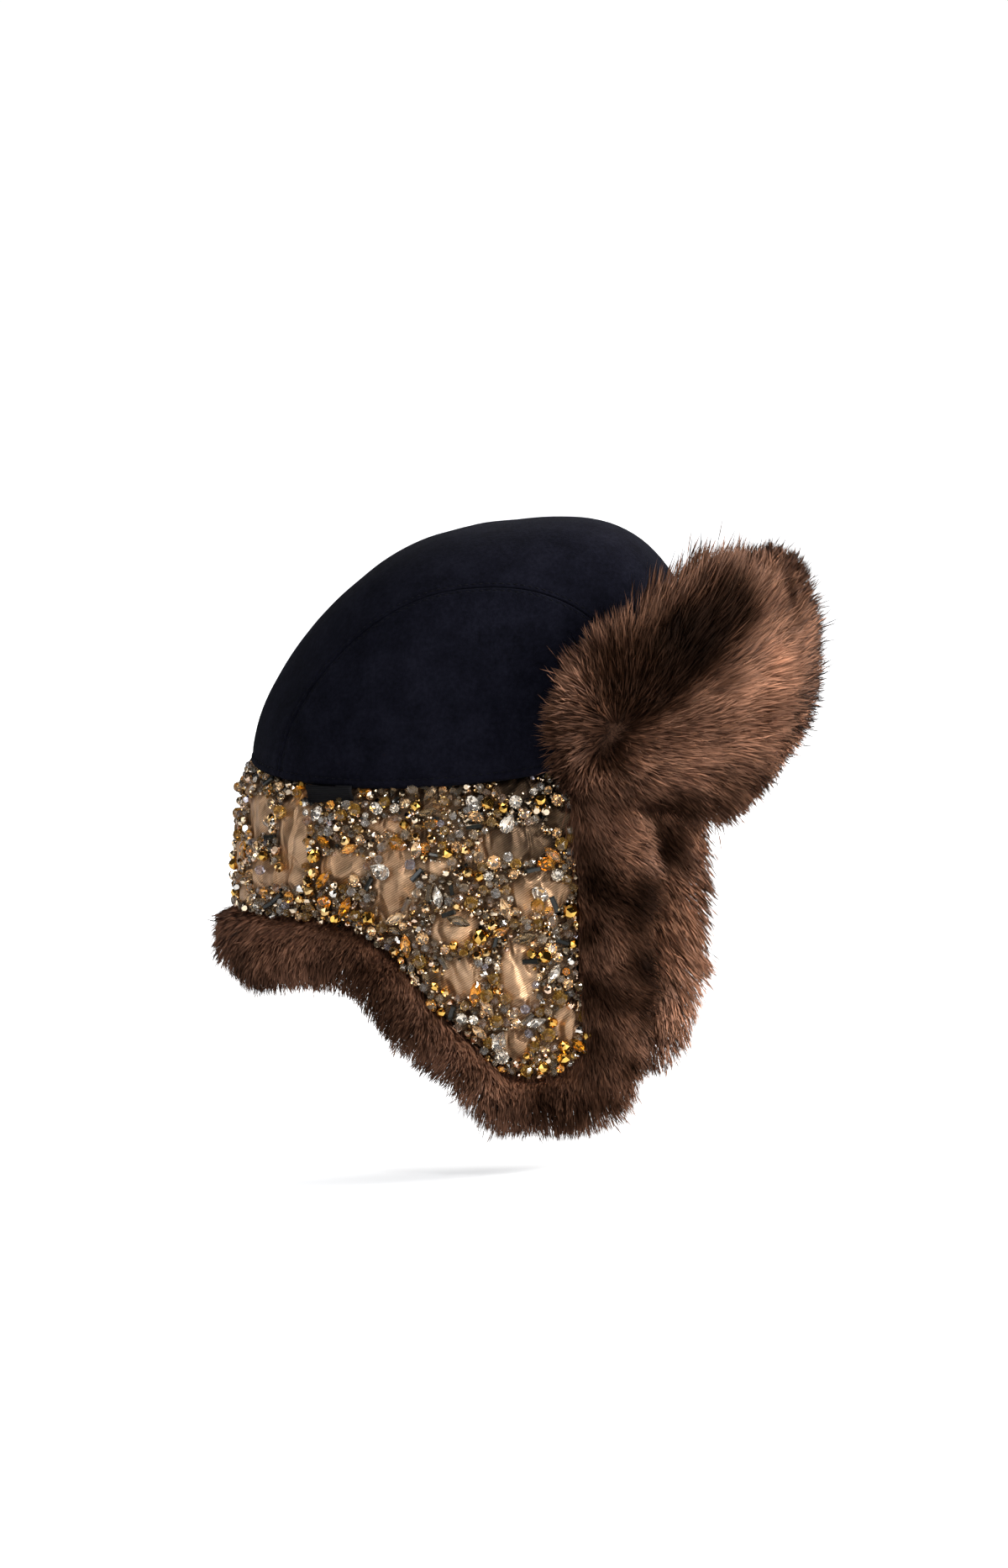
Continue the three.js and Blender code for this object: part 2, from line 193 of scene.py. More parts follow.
# ---------------------------------------------------------------- the photo's view
AZIMUTH, ELEVATION, ROLL, DISTANCE = 281.0, 6.0, 6.0, 3.0
AIM = np.array([0.0, 0.0115, -0.0995])


def photo_axes():
    a, e, r = (math.radians(v) for v in (AZIMUTH, ELEVATION, ROLL))
    back = np.array([math.sin(a) * math.cos(e), -math.cos(a) * math.cos(e), math.sin(e)])
    right0 = unit(np.cross(-back, [0, 0, 1.0]))
    up0 = np.cross(right0, -back)
    return right0 * math.cos(r) - up0 * math.sin(r), right0 * math.sin(r) + up0 * math.cos(r), back


# ---------------------------------------------------------------- mesh tools
def grid_quads(rows, cols, closed=False, start=0):
    a = np.arange(rows * cols).reshape(rows, cols) + start
    b = np.roll(a, -1, 1) if closed else a[:, 1:]
    a0 = a if closed else a[:, :-1]
    return np.stack([a0[:-1], b[:-1], b[1:], a0[1:]], -1).reshape(-1, 4)


def piece(name, points, faces, material, flat=False, colors=None, attribute="strand", uv=None, crease=None):
    """A mesh object from points in millimetres and one or more arrays of faces."""
    faces = [np.asarray(f, np.int32) for f in (faces if isinstance(faces, (list, tuple)) else [faces]) if len(f)]
    me = bpy.data.meshes.new(name)
    me.vertices.add(len(points))
    me.vertices.foreach_set("co", (np.asarray(points, np.float32) * MM).ravel())
    index = np.concatenate([f.ravel() for f in faces])
    sizes = np.concatenate([np.full(len(f), f.shape[1]) for f in faces])
    me.loops.add(len(index))
    me.loops.foreach_set("vertex_index", index)
    me.polygons.add(len(sizes))
    me.polygons.foreach_set("loop_start", np.concatenate([[0], np.cumsum(sizes)[:-1]]).astype(np.int32))
    me.update(calc_edges=True)
    if colors is not None:
        layer = me.attributes.new(attribute, "FLOAT_COLOR", "POINT")
        rgba = np.ones((len(points), 4), np.float32)
        rgba[:, :3] = colors
        layer.data.foreach_set("color", rgba.ravel())
    if uv is not None:
        layer = me.uv_layers.new(name="cloth")
        layer.uv.foreach_set("vector", np.asarray(uv, np.float32)[index].ravel())
    if flat:
        me.shade_flat()
    else:
        me.shade_smooth()
    me.validate()
    ob = bpy.data.objects.new(name, me)
    bpy.context.scene.collection.objects.link(ob)
    for m in material if isinstance(material, (list, tuple)) else [material]:
        me.materials.append(m)
    return ob


def grid_normals(p, outward):
    """Unit normals of a grid of points, turned to agree with the vectors outward."""
    n = np.cross(np.gradient(p, axis=0), np.gradient(p, axis=1))
    size = np.linalg.norm(n, axis=-1, keepdims=True)
    n = np.where(size > 1e-9, n / np.maximum(size, 1e-12), unit(outward))
    return n * np.where((n * outward).sum(-1, keepdims=True) < 0, -1, 1)


def shell(p, normals, thick, name_faces_out=True):
    """Points and quads of a closed wall: the grid p outside and the same grid thick inside."""
    rows, cols = p.shape[:2]
    count = rows * cols
    points = np.concatenate([p.reshape(-1, 3), (p - normals * thick).reshape(-1, 3)])
    a = np.arange(count).reshape(rows, cols)
    out = grid_quads(rows, cols)
    q = p.reshape(-1, 3)[out[len(out) // 2]]
    faces_out = (np.cross(q[1] - q[0], q[3] - q[0]) * normals.reshape(-1, 3)[out[len(out) // 2][0]]).sum() > 0
    if not faces_out:
        out = out[:, ::-1]
    inner = out[:, ::-1] + count
    border = np.concatenate([a[0, :], a[1:, -1], a[-1, -2::-1], a[-2:0:-1, 0]])
    nxt = np.roll(border, -1)
    rim = np.stack([border, nxt, nxt + count, border + count], -1)
    if not faces_out:
        rim = rim[:, ::-1]
    # the border runs with the outer faces, so the rim has to run against it
    return points, [out, inner, rim[:, ::-1]]


def mirrored(points, faces):
    q = np.array(points, float)
    q[:, 0] *= -1
    return q, [np.asarray(f)[:, ::-1] for f in faces]


# ---------------------------------------------------------------- materials
def material(name):
    m = bpy.data.materials.new(name)
    m.use_nodes = True
    m.node_tree.nodes.clear()
    out = m.node_tree.nodes.new("ShaderNodeOutputMaterial")
    shader = m.node_tree.nodes.new("ShaderNodeBsdfPrincipled")
    m.node_tree.links.new(shader.outputs[0], out.inputs[0])
    return m, m.node_tree, shader


def node(tree, kind, inputs=None, **settings):
    n = tree.nodes.new(kind)
    for k, v in settings.items():
        setattr(n, k, v)
    for k, v in (inputs or {}).items():
        if isinstance(v, bpy.types.NodeSocket):
            tree.links.new(v, n.inputs[k])
        else:
            n.inputs[k].default_value = v
    return n


def ramp(tree, fac, stops, interpolation="LINEAR"):
    n = tree.nodes.new("ShaderNodeValToRGB")
    n.color_ramp.interpolation = interpolation
    e = n.color_ramp.elements
    while len(e) < len(stops):
        e.new(0.5)
    for i, (at, color) in enumerate(stops):
        e[i].position = at
        e[i].color = (*color, 1) if len(color) == 3 else color
    tree.links.new(fac, n.inputs[0])
    return n.outputs[0]


def set_shader(shader, **values):
    for k, v in values.items():
        shader.inputs[k.replace("_", " ")].default_value = v


def felt_material():
    m, t, s = material("navy wool felt")
    where = node(t, "ShaderNodeNewGeometry").outputs["Position"]
    broad = node(t, "ShaderNodeTexNoise", {"Vector": where, "Scale": 60.0, "Detail": 3.0, "Roughness": 0.6})
    fine = node(t, "ShaderNodeTexNoise", {"Vector": where, "Scale": 1500.0, "Detail": 3.0, "Roughness": 0.75})
    nap = node(t, "ShaderNodeTexNoise", {"Vector": where, "Scale": 520.0, "Detail": 4.0, "Roughness": 0.7})
    blend = node(t, "ShaderNodeMath", {0: broad.outputs["Fac"], 1: nap.outputs["Fac"]}, operation="ADD")
    halved = node(t, "ShaderNodeMath", {0: blend.outputs[0], 1: 0.5}, operation="MULTIPLY")
    color = ramp(t, halved.outputs[0], [(0.36, (0.0020, 0.0021, 0.0042)), (0.5, (0.0044, 0.0045, 0.0086)), (0.66, (0.0082, 0.0084, 0.0145))])
    t.links.new(color, s.inputs["Base Color"])
    set_shader(s, Roughness=0.95, Specular_IOR_Level=0.04, Sheen_Weight=0.012, Sheen_Roughness=0.5)
    s.inputs["Sheen Tint"].default_value = (0.55, 0.62, 0.85, 1)
    heights = node(t, "ShaderNodeMath", {0: fine.outputs["Fac"], 1: nap.outputs["Fac"]}, operation="ADD")
    bump = node(t, "ShaderNodeBump", {"Strength": 0.55, "Distance": 0.0006, "Height": heights.outputs[0]})
    t.links.new(bump.outputs[0], s.inputs["Normal"])
    return m


def satin_material():
    m, t, s = material("bronze satin")
    uv = node(t, "ShaderNodeUVMap", uv_map="cloth").outputs[0]
    wobble = node(t, "ShaderNodeTexNoise", {"Vector": uv, "Scale": 0.5, "Detail": 2.0})
    xyz = node(t, "ShaderNodeSeparateXYZ", {0: uv})

    def diagonal(cx, cy, pitch, push):
        a = node(t, "ShaderNodeMath", {0: xyz.outputs[0], 1: cx * 2 * math.pi / pitch}, operation="MULTIPLY")
        b = node(t, "ShaderNodeMath", {0: xyz.outputs[1], 1: cy * 2 * math.pi / pitch, 2: a.outputs[0]}, operation="MULTIPLY_ADD")
        c = node(t, "ShaderNodeMath", {0: wobble.outputs["Fac"], 1: push, 2: b.outputs[0]}, operation="MULTIPLY_ADD")
        return node(t, "ShaderNodeMath", {0: c.outputs[0]}, operation="SINE").outputs[0]

    twill = diagonal(0.5, 0.866, 0.92, 3.0)
    weft = diagonal(-0.72, 0.69, 0.7, 1.5)
    cloud = node(t, "ShaderNodeTexNoise", {"Vector": uv, "Scale": 0.09, "Detail": 3.0})
    slub = node(t, "ShaderNodeTexNoise", {"Vector": uv, "Scale": 1.1, "Detail": 3.0})
    k = node(t, "ShaderNodeMath", {0: twill, 1: 0.17, 2: cloud.outputs["Fac"]}, operation="MULTIPLY_ADD")
    k = node(t, "ShaderNodeMath", {0: slub.outputs["Fac"], 1: 0.25, 2: k.outputs[0]}, operation="MULTIPLY_ADD")
    color = ramp(t, k.outputs[0], [(0.30, (0.31, 0.176, 0.095)), (0.6, (0.53, 0.328, 0.188)), (0.92, (0.76, 0.50, 0.31))])
    # painted shade: the shade attribute darkens the satin between the stones and under the visor
    painted_shade = node(t, "ShaderNodeAttribute", attribute_name="shade", attribute_type="GEOMETRY").outputs["Color"]
    color = node(t, "ShaderNodeMix", {"Factor": 1.0, 6: color, 7: painted_shade}, data_type="RGBA", blend_type="MULTIPLY").outputs[2]
    t.links.new(color, s.inputs["Base Color"])
    set_shader(s, Metallic=0.85, Roughness=0.38, Specular_IOR_Level=0.5)
    h = node(t, "ShaderNodeMath", {0: weft, 1: 0.4, 2: twill}, operation="MULTIPLY_ADD")
    slack = node(t, "ShaderNodeMapping", {"Vector": uv, "Rotation": (0, 0, 0.35), "Scale": (0.150, 0.075, 1)})
    fold = node(t, "ShaderNodeTexNoise", {"Vector": slack.outputs[0], "Scale": 1.0, "Detail": 1.2, "Roughness": 0.4, "Distortion": 0.5})
    deep = node(t, "ShaderNodeBump", {"Strength": 1.0, "Distance": 0.0085, "Height": fold.outputs["Fac"]})
    bump = node(t, "ShaderNodeBump", {"Strength": 0.5, "Distance": 0.00012, "Height": h.outputs[0], "Normal": deep.outputs[0]})
    t.links.new(bump.outputs[0], s.inputs["Normal"])
    return m


def suede_material():
    m, t, s = material("brown suede")
    where = node(t, "ShaderNodeNewGeometry").outputs["Position"]
    nap = node(t, "ShaderNodeTexNoise", {"Vector": where, "Scale": 700.0, "Detail": 5.0, "Roughness": 0.7})
    cloud = node(t, "ShaderNodeTexNoise", {"Vector": where, "Scale": 45.0, "Detail": 4.0})
    k = node(t, "ShaderNodeMath", {0: nap.outputs["Fac"], 1: cloud.outputs["Fac"]}, operation="ADD")
    k = node(t, "ShaderNodeMath", {0: k.outputs[0], 1: 0.5}, operation="MULTIPLY")
    color = ramp(t, k.outputs[0], [(0.35, (0.022, 0.011, 0.0065)), (0.5, (0.043, 0.022, 0.0135)), (0.65, (0.070, 0.039, 0.025))])
    t.links.new(color, s.inputs["Base Color"])
    set_shader(s, Roughness=0.88, Specular_IOR_Level=0.2, Sheen_Weight=0.2, Sheen_Roughness=0.4)
    bump = node(t, "ShaderNodeBump", {"Strength": 0.5, "Distance": 0.0005, "Height": nap.outputs["Fac"]})
    t.links.new(bump.outputs[0], s.inputs["Normal"])
    return m


def label_material():
    m, t, s = material("black woven tape")
    where = node(t, "ShaderNodeNewGeometry").outputs["Position"]
    wave = node(t, "ShaderNodeTexWave", {"Vector": where, "Scale": 320.0, "Distortion": 0.6}, wave_type="BANDS", bands_direction="Z")
    color = ramp(t, wave.outputs["Fac"], [(0.0, (0.0020, 0.0020, 0.0026)), (1.0, (0.0065, 0.0065, 0.0080))])
    t.links.new(color, s.inputs["Base Color"])
    set_shader(s, Roughness=0.75, Specular_IOR_Level=0.12)
    bump = node(t, "ShaderNodeBump", {"Strength": 0.4, "Distance": 0.0003, "Height": wave.outputs["Fac"]})
    t.links.new(bump.outputs[0], s.inputs["Normal"])
    return m


def thread_material():
    m, t, s = material("navy thread")
    where = node(t, "ShaderNodeNewGeometry").outputs["Position"]
    twist = node(t, "ShaderNodeTexNoise", {"Vector": where, "Scale": 2500.0, "Detail": 1.0})
    color = ramp(t, twist.outputs["Fac"], [(0.3, (0.0012, 0.0013, 0.0026)), (0.7, (0.0034, 0.0036, 0.0068))])
    t.links.new(color, s.inputs["Base Color"])
    set_shader(s, Roughness=0.7, Specular_IOR_Level=0.12)
    return m


def stone_materials():
    """Cut glass, foil behind it, and dark crystal; each takes its tint from the stones' own attribute."""
    made = []
    for name, kind in (("cut glass", "glass"), ("foiled back", "foil"), ("dark crystal", "dark")):
        m, t, s = material(name)
        tint = node(t, "ShaderNodeAttribute", attribute_name="tint", attribute_type="GEOMETRY").outputs["Color"]
        where = node(t, "ShaderNodeNewGeometry").outputs["Position"]
        speck = node(t, "ShaderNodeTexNoise", {"Vector": where, "Scale": 900.0, "Detail": 2.0})
        shade = node(t, "ShaderNodeMapRange", {"Value": speck.outputs["Fac"], "From Min": 0.3, "From Max": 0.7, "To Min": 0.86, "To Max": 1.06})
        color = node(t, "ShaderNodeMix", {"Factor": 1.0, 6: tint, 7: shade.outputs[0]}, data_type="RGBA", blend_type="MULTIPLY")
        t.links.new(color.outputs[2], s.inputs["Base Color"])
        if kind == "glass":
            set_shader(s, Roughness=0.015, IOR=1.58, Transmission_Weight=0.93, Specular_IOR_Level=0.62)
        elif kind == "foil":
            set_shader(s, Metallic=1.0, Roughness=0.06)
        else:
            set_shader(s, Metallic=0.0, Roughness=0.05, Specular_IOR_Level=0.45)
        made.append(m)
    return made


# ---------------------------------------------------------------- felt crown
HEM_STEPS = [0, 0.5, 1.0, 1.6, 2.3, 3.0, 3.6, 4.2, 5.0, 6.2, 8.0]
SEAM_STEPS = [0, 0.4, 0.8, 1.2, 1.6, 2.0, 2.4, 2.9, 3.7, 5.0, 7.0, 10, 14, 19.5, 26.5, 35, 45]
SEAM_GAP = -0.05


def plane_curve(x0, samples=300):
    """The crown's curve from the back hem over the top to the front hem at one distance x0 from the middle."""
    top = math.acos(min(1.0, (abs(x0) / SIDE) ** (1 / SIDE_FALL)))
    climb = top * (1 - (1 - np.linspace(0, 1, samples)) ** SQUARE)
    s = np.clip(abs(x0) / (SIDE * np.maximum(np.cos(climb), 1e-9) ** SIDE_FALL), 0, 1)
    turn = np.arctan2(s, (1 - s**SQUARE) ** (1 / SQUARE))
    turn = np.concatenate([turn, math.pi - turn[-2::-1]])
    climb = np.concatenate([climb, climb[-2::-1]])
    return turn, climb


def arc(p):
    d = np.linalg.norm(np.diff(p, axis=0), axis=1)
    return np.concatenate([[0], np.cumsum(d)])


def felt_relief(p, n, seam, hem):
    """How far the felt stands out from the plain form: soft dents, the seam, its stitch lines and the rolled hem."""
    soft = (noise(p, 48, 3) - 0.5) * 2.6 + (noise(p, 19, 4) - 0.5) * 0.9 + (noise(p, 7, 5) - 0.5) * 0.16
    soft = soft * smooth(1, 24, hem) * (0.35 + 0.65 * smooth(1, 16, seam))
    groove = -0.95 * np.exp(-((seam / 0.55) ** 2)) - 0.30 * np.exp(-(((seam - 2.0) / 0.42) ** 2)) + 0.22 * np.exp(-(((seam - 4.0) / 1.7) ** 2))
    line = -0.55 * np.exp(-(((hem - 4.2) / 0.6) ** 2)) + 0.45 * np.exp(-(((hem - 2.1) / 1.3) ** 2))
    roll = -1.7 * (1 - smooth(-0.2, 1.3, hem))
    return soft + groove + line + roll


def felt_normal(turn, climb):
    e = 1e-3
    a = crown_point(turn + e, climb) - crown_point(turn - e, climb)
    b = crown_point(turn, np.minimum(climb + e, math.pi / 2)) - crown_point(turn, np.maximum(climb - e, 0))
    n = unit(np.cross(a, b))
    outward = crown_point(turn, climb) - np.array([0, MIDDLE, HEM - 25])
    return n * np.where((n * outward).sum(-1, keepdims=True) < 0, -1, 1)


def crown_panels(felt):
    center = np.array([0, MIDDLE, HEM - 25.0])
    columns = [STRIP - SEAM_GAP - s for s in SEAM_STEPS]
    columns = columns + [0.0] + [-c for c in reversed(columns)]
    grid, hems = [], []
    for x0 in columns:
        turn, climb = plane_curve(x0)
        p = crown_point(turn, climb)
        p[:, 0] = x0
        along = arc(p)
        total = along[-1]
        rows = HEM_STEPS + list(np.linspace(8, total - 8, 76)[1:-1]) + [total - h for h in reversed(HEM_STEPS)]
        grid.append(np.stack([np.interp(rows, along, p[:, i]) for i in range(3)], -1))
        hems.append(np.minimum(rows, total - np.array(rows)))
    grid, hems = np.array(grid).swapaxes(0, 1), np.array(hems).T
    n = grid_normals(grid, grid - center)
    seam = (STRIP - np.abs(grid[..., 0])) / np.sqrt(np.maximum(0.08, 1 - n[..., 0] ** 2))
    raised = grid + n * felt_relief(grid, n, seam, hems)[..., None]
    points, faces = shell(raised, grid_normals(raised, grid - center), FELT - 0.2)
    made = [piece("crown_center_felt", points, faces, felt)]

    turn, climb = plane_curve(-(STRIP + SEAM_GAP))
    p = crown_point(turn, climb)
    along = arc(p)
    share = np.linspace(0.006, 0.994, 84) * along[-1]
    turns, climbs = np.interp(share, along, turn), np.interp(share, along, climb)
    grid, hems = [], []
    for t, c in zip(turns, climbs):
        climb = c * np.linspace(0, 1, 160) ** 1.2
        p = crown_point(np.full(160, t), climb)
        along = arc(p)
        total = along[-1]
        k = min(1, total / 45)
        near = np.array(HEM_STEPS) * k
        far = total - np.array(SEAM_STEPS[:11]) * k
        rows = np.concatenate([near, np.linspace(near[-1], far[-1], 13)[1:-1], far[::-1]])
        grid.append(np.stack([np.interp(rows, along, p[:, i]) for i in range(3)], -1))
        hems.append(rows)
    grid, hems = np.array(grid).swapaxes(0, 1), np.array(hems).T
    n = grid_normals(grid, grid - center)
    seam = (np.abs(grid[..., 0]) - STRIP) / np.sqrt(np.maximum(0.08, 1 - n[..., 0] ** 2))
    raised = grid + n * felt_relief(grid, n, seam, hems)[..., None]
    points, faces = shell(raised, grid_normals(raised, grid - center), FELT - 0.2)
    made.append(piece("crown_side_felt_right", points, faces, felt))
    made.append(piece("crown_side_felt_left", *mirrored(points, faces), felt))
    for ob, cad, flat, area in ((made[0], "crown_center_panel", (0.118, 0.334), None),
                                (made[1], "crown_side_right", (0.235, 0.098), 0.0172),
                                (made[2], "crown_side_left", (0.235, 0.098), 0.0172)):
        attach(ob, "root")
        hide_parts(cad)
    return made


def crown_stitches(thread):
    """Topstitching on both sides of the seams and round the hem, as joined meshes of single stitches."""
    lines = []
    for side in (-1, 1):
        for offset in (-2.0, 2.0):
            turn, climb = plane_curve(STRIP)
            n = felt_normal(turn, climb)
            x = STRIP + offset * np.sqrt(np.maximum(0.08, 1 - n[:, 0] ** 2))
            base = math.acos((STRIP / SIDE) ** (1 / SIDE_FALL))
            tops = np.arccos(np.minimum(1, (x / SIDE) ** (1 / SIDE_FALL)))
            climb = climb * tops / base
            s = np.clip(x / (SIDE * np.cos(climb) ** SIDE_FALL), 0, 1)
            c = (1 - s**SQUARE) ** (1 / SQUARE) * np.where(turn > math.pi / 2, -1, 1)
            turn = np.arctan2(s, c)
            p, n = crown_point(turn, climb), felt_normal(turn, climb)
            high = felt_relief(p, n, np.full(len(p), abs(offset)), np.full(len(p), 30.0))
            q = p + n * (high[:, None] + 0.12)
            keep = p[:, 2] > HEM - hem_drop(turn) + 3
            q, n = q[keep], n[keep]
            flip = np.array([-side, 1, 1])
            lines.append((q * flip, n * flip))
    turn = np.linspace(0.001, math.pi - 0.001, 300)
    steps = np.linspace(0, 0.25, 90)
    p = crown_point(turn[:, None], steps[None, :])
    d = np.concatenate([np.zeros((300, 1)), np.cumsum(np.linalg.norm(np.diff(p, axis=1), axis=-1), 1)], 1)
    climb = np.array([np.interp(4.2, d[i], steps) for i in range(300)])
    p, n = crown_point(turn, climb), felt_normal(turn, climb)
    q = p + n * (-0.43)
    for side in (-1, 1):
        flip = np.array([-side, 1, 1])
        lines.append((q * flip, n * flip))
    points, faces, count = [], [], 0
    for q, n in lines:
        along = arc(q)
        for start in np.arange(1.0, along[-1] - 3, 3.4):
            at = start + np.array([0.0, 0.5, 1.3, 2.1, 2.6])
            c = np.stack([np.interp(at, along, q[:, i]) for i in range(3)], -1)
            up = unit(np.stack([np.interp(at, along, n[:, i]) for i in range(3)], -1))
            side = unit(np.cross(unit(np.gradient(c, axis=0)), up))
            wide = np.array([0.06, 0.26, 0.29, 0.26, 0.06])[:, None]
            lift = np.array([-0.22, 0.05, 0.14, 0.05, -0.22])[:, None]
            c = c + up * lift
            loop = np.stack([c + side * wide, c + up * wide * 0.8, c - side * wide, c - up * wide * 0.8], 1)
            points.append(loop.reshape(-1, 3))
            a = np.arange(20).reshape(5, 4) + count
            b = np.roll(a, -1, 1)
            faces.append(np.stack([a[:-1], b[:-1], b[1:], a[1:]], -1).reshape(-1, 4))
            count += 20
    ob = piece("crown_stitches", np.concatenate(points), np.concatenate(faces), thread)
    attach(ob, "root")
    return ob


# ---------------------------------------------------------------- satin bands
ISLAND_COLUMNS = ("turn", "drop", "half_turn", "half_drop")
ISLAND_ROWS = [
    (32, 24.4, 6.9, 8.6), (48.2, 32.5, 4.4, 15.2), (48.8, 51.4, 2.5, 4.9), (36.6, 51.5, 7.7, 5.8), (62.3, 47.8, 4.5, 5.9),
    (73.3, 30.1, 3.5, 2.9), (74.4, 55.3, 3.8, 15.5), (83.4, 50.3, 3.1, 2.1), (101.8, 42.8, 6.5, 7.2), (104.4, 17.5, 4.7, 2.5),
    (113.8, 33.5, 2.5, 4.7), (106.9, 66.3, 5.6, 8), (86.7, 79.4, 3.7, 6.7), (87.2, 103.6, 3.7, 6.9), (100.3, 105.8, 3.2, 14.5),
    (98, 137.1, 2.4, 6.8), (110.5, 130, 2.2, 7.2), (4.5, 22, 6, 8), (9, 55, 5, 7), (17.5, 44, 4.5, 8), (20, 15, 4.5, 4),
    (24, 62, 4.5, 4),
]
ISLANDS = np.array(ISLAND_ROWS, float)
MM_PER_TURN = 1.85


def island(turn, drop):
    """1 in the middle of the nearest bare island of satin, 0 at its edge, below 0 outside."""
    t = np.degrees(turn)[..., None]
    d = np.asarray(drop)[..., None]
    q = np.sqrt(((t - ISLANDS[:, 0]) / ISLANDS[:, 2]) ** 2 + ((d - ISLANDS[:, 1]) / ISLANDS[:, 3]) ** 2) / 1.14
    return (1 - q).max(-1)


def satin_relief(turn, drop):
    k = island(turn, drop)
    where = np.stack([np.degrees(turn) * MM_PER_TURN, np.asarray(drop), 0 * turn], -1)
    puff = 2.6 * smooth(-0.45, 0.75, k)
    sag = np.stack([where[..., 0] * 0.9 + where[..., 1] * 0.42, where[..., 1] * 0.5, where[..., 2]], -1)
    folds = (noise(sag, 6.5, 11) - 0.5) * 3.0 + (noise(where, 11, 12) - 0.5) * 2.0 + (noise(where, 3.1, 13) - 0.5) * 0.7
    return puff + folds * smooth(-0.9, 0.2, k) - 0.5 + 0.25 * (1 - smooth(-0.9, 0.2, k))


def satin_grid(cols=176, rows=46):
    share = np.linspace(0, 1, cols)
    top, edge, _ = station(share)
    k = np.concatenate([np.linspace(0, 0.06, 4)[:-1], np.linspace(0.06, 0.97, rows - 6), np.linspace(0.97, 1, 4)[1:]])
    at = top[None] + (edge - top)[None] * k[:, None, None]
    turn, drop = at[..., 0], at[..., 1]
    below = drop - hem_drop(turn)
    away = np.minimum(1 - k[:, None] + 0 * turn, 0.03) / 0.03
    high = satin_relief(turn, drop) * smooth(3, 12, below) * (0.25 + 0.75 * away)
    high = high - 1.6 * (1 - smooth(0, 1, away)) ** 2
    return turn, drop, high


def satin_bands(satin):
    turn, drop, high = satin_grid()
    p = band_point(turn, drop, high)
    inward = p - np.array([0, MIDDLE, 0])
    inward[..., 2] = 0
    n = grid_normals(p, inward)
    points, faces = shell(p, n, SATIN)
    flat_uv = np.stack([np.degrees(turn) * MM_PER_TURN, drop], -1).reshape(-1, 2)
    uv = np.concatenate([flat_uv, flat_uv])
    # painted shade: the satin between the stones is darkened to 0.24 of its colour, as the shade among them
    shade = mix(0.24, 1.0, smooth(-0.34, 0.06, island(turn, drop)))
    shade = (shade * mix(1, 0.18, smooth(86, 102, np.degrees(turn)) * (1 - smooth(42, 80, drop)))).reshape(-1)  # painted shadow of the visor's fur: the satin under the visor is darkened
    shade = np.repeat(np.concatenate([shade, shade * 0 + 0.8])[:, None], 3, 1)
    right = piece("satin_cloth_right", points, faces, satin, uv=uv, colors=shade, attribute="shade")
    left = piece("satin_cloth_left", *mirrored(points, faces), satin, uv=uv * [-1, 1], colors=shade, attribute="shade")
    for ob, side in ((right, "right"), (left, "left")):
        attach(ob, "root")
        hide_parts(f"satin_band_{side}")
    return right, left


def label_tab(tape):
    turn0, half = math.radians(58.4), 23 / 2 / 100
    turn = turn0 + np.linspace(-half, half, 26)[:, None] + np.zeros((26, 9))
    high = hem_drop(turn)
    low = hem_drop(np.array(turn0)) + 6.4
    k = np.linspace(0, 1, 9)[None, :]
    drop = mix(high - 2.0, low, k)
    bow = 0.7 * np.sin(math.pi * k) * (0.6 + 0.4 * np.sin(turn * 40)) + 0.5 * k
    edge = np.minimum(np.arange(26), np.arange(26)[::-1])[:, None]
    p = band_point(turn, np.maximum(drop, high - 1), 5.4 * (1 - smooth(0, 7, drop - high)) + 1.9 + bow - 0.25 * (edge < 1))
    n = grid_normals(p, p * [1, 1, 0])
    points, faces = shell(p, n, 0.75)
    ob = piece("label_tape", points, faces, tape)
    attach(ob, "root")
    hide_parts("label_tab")
    return ob


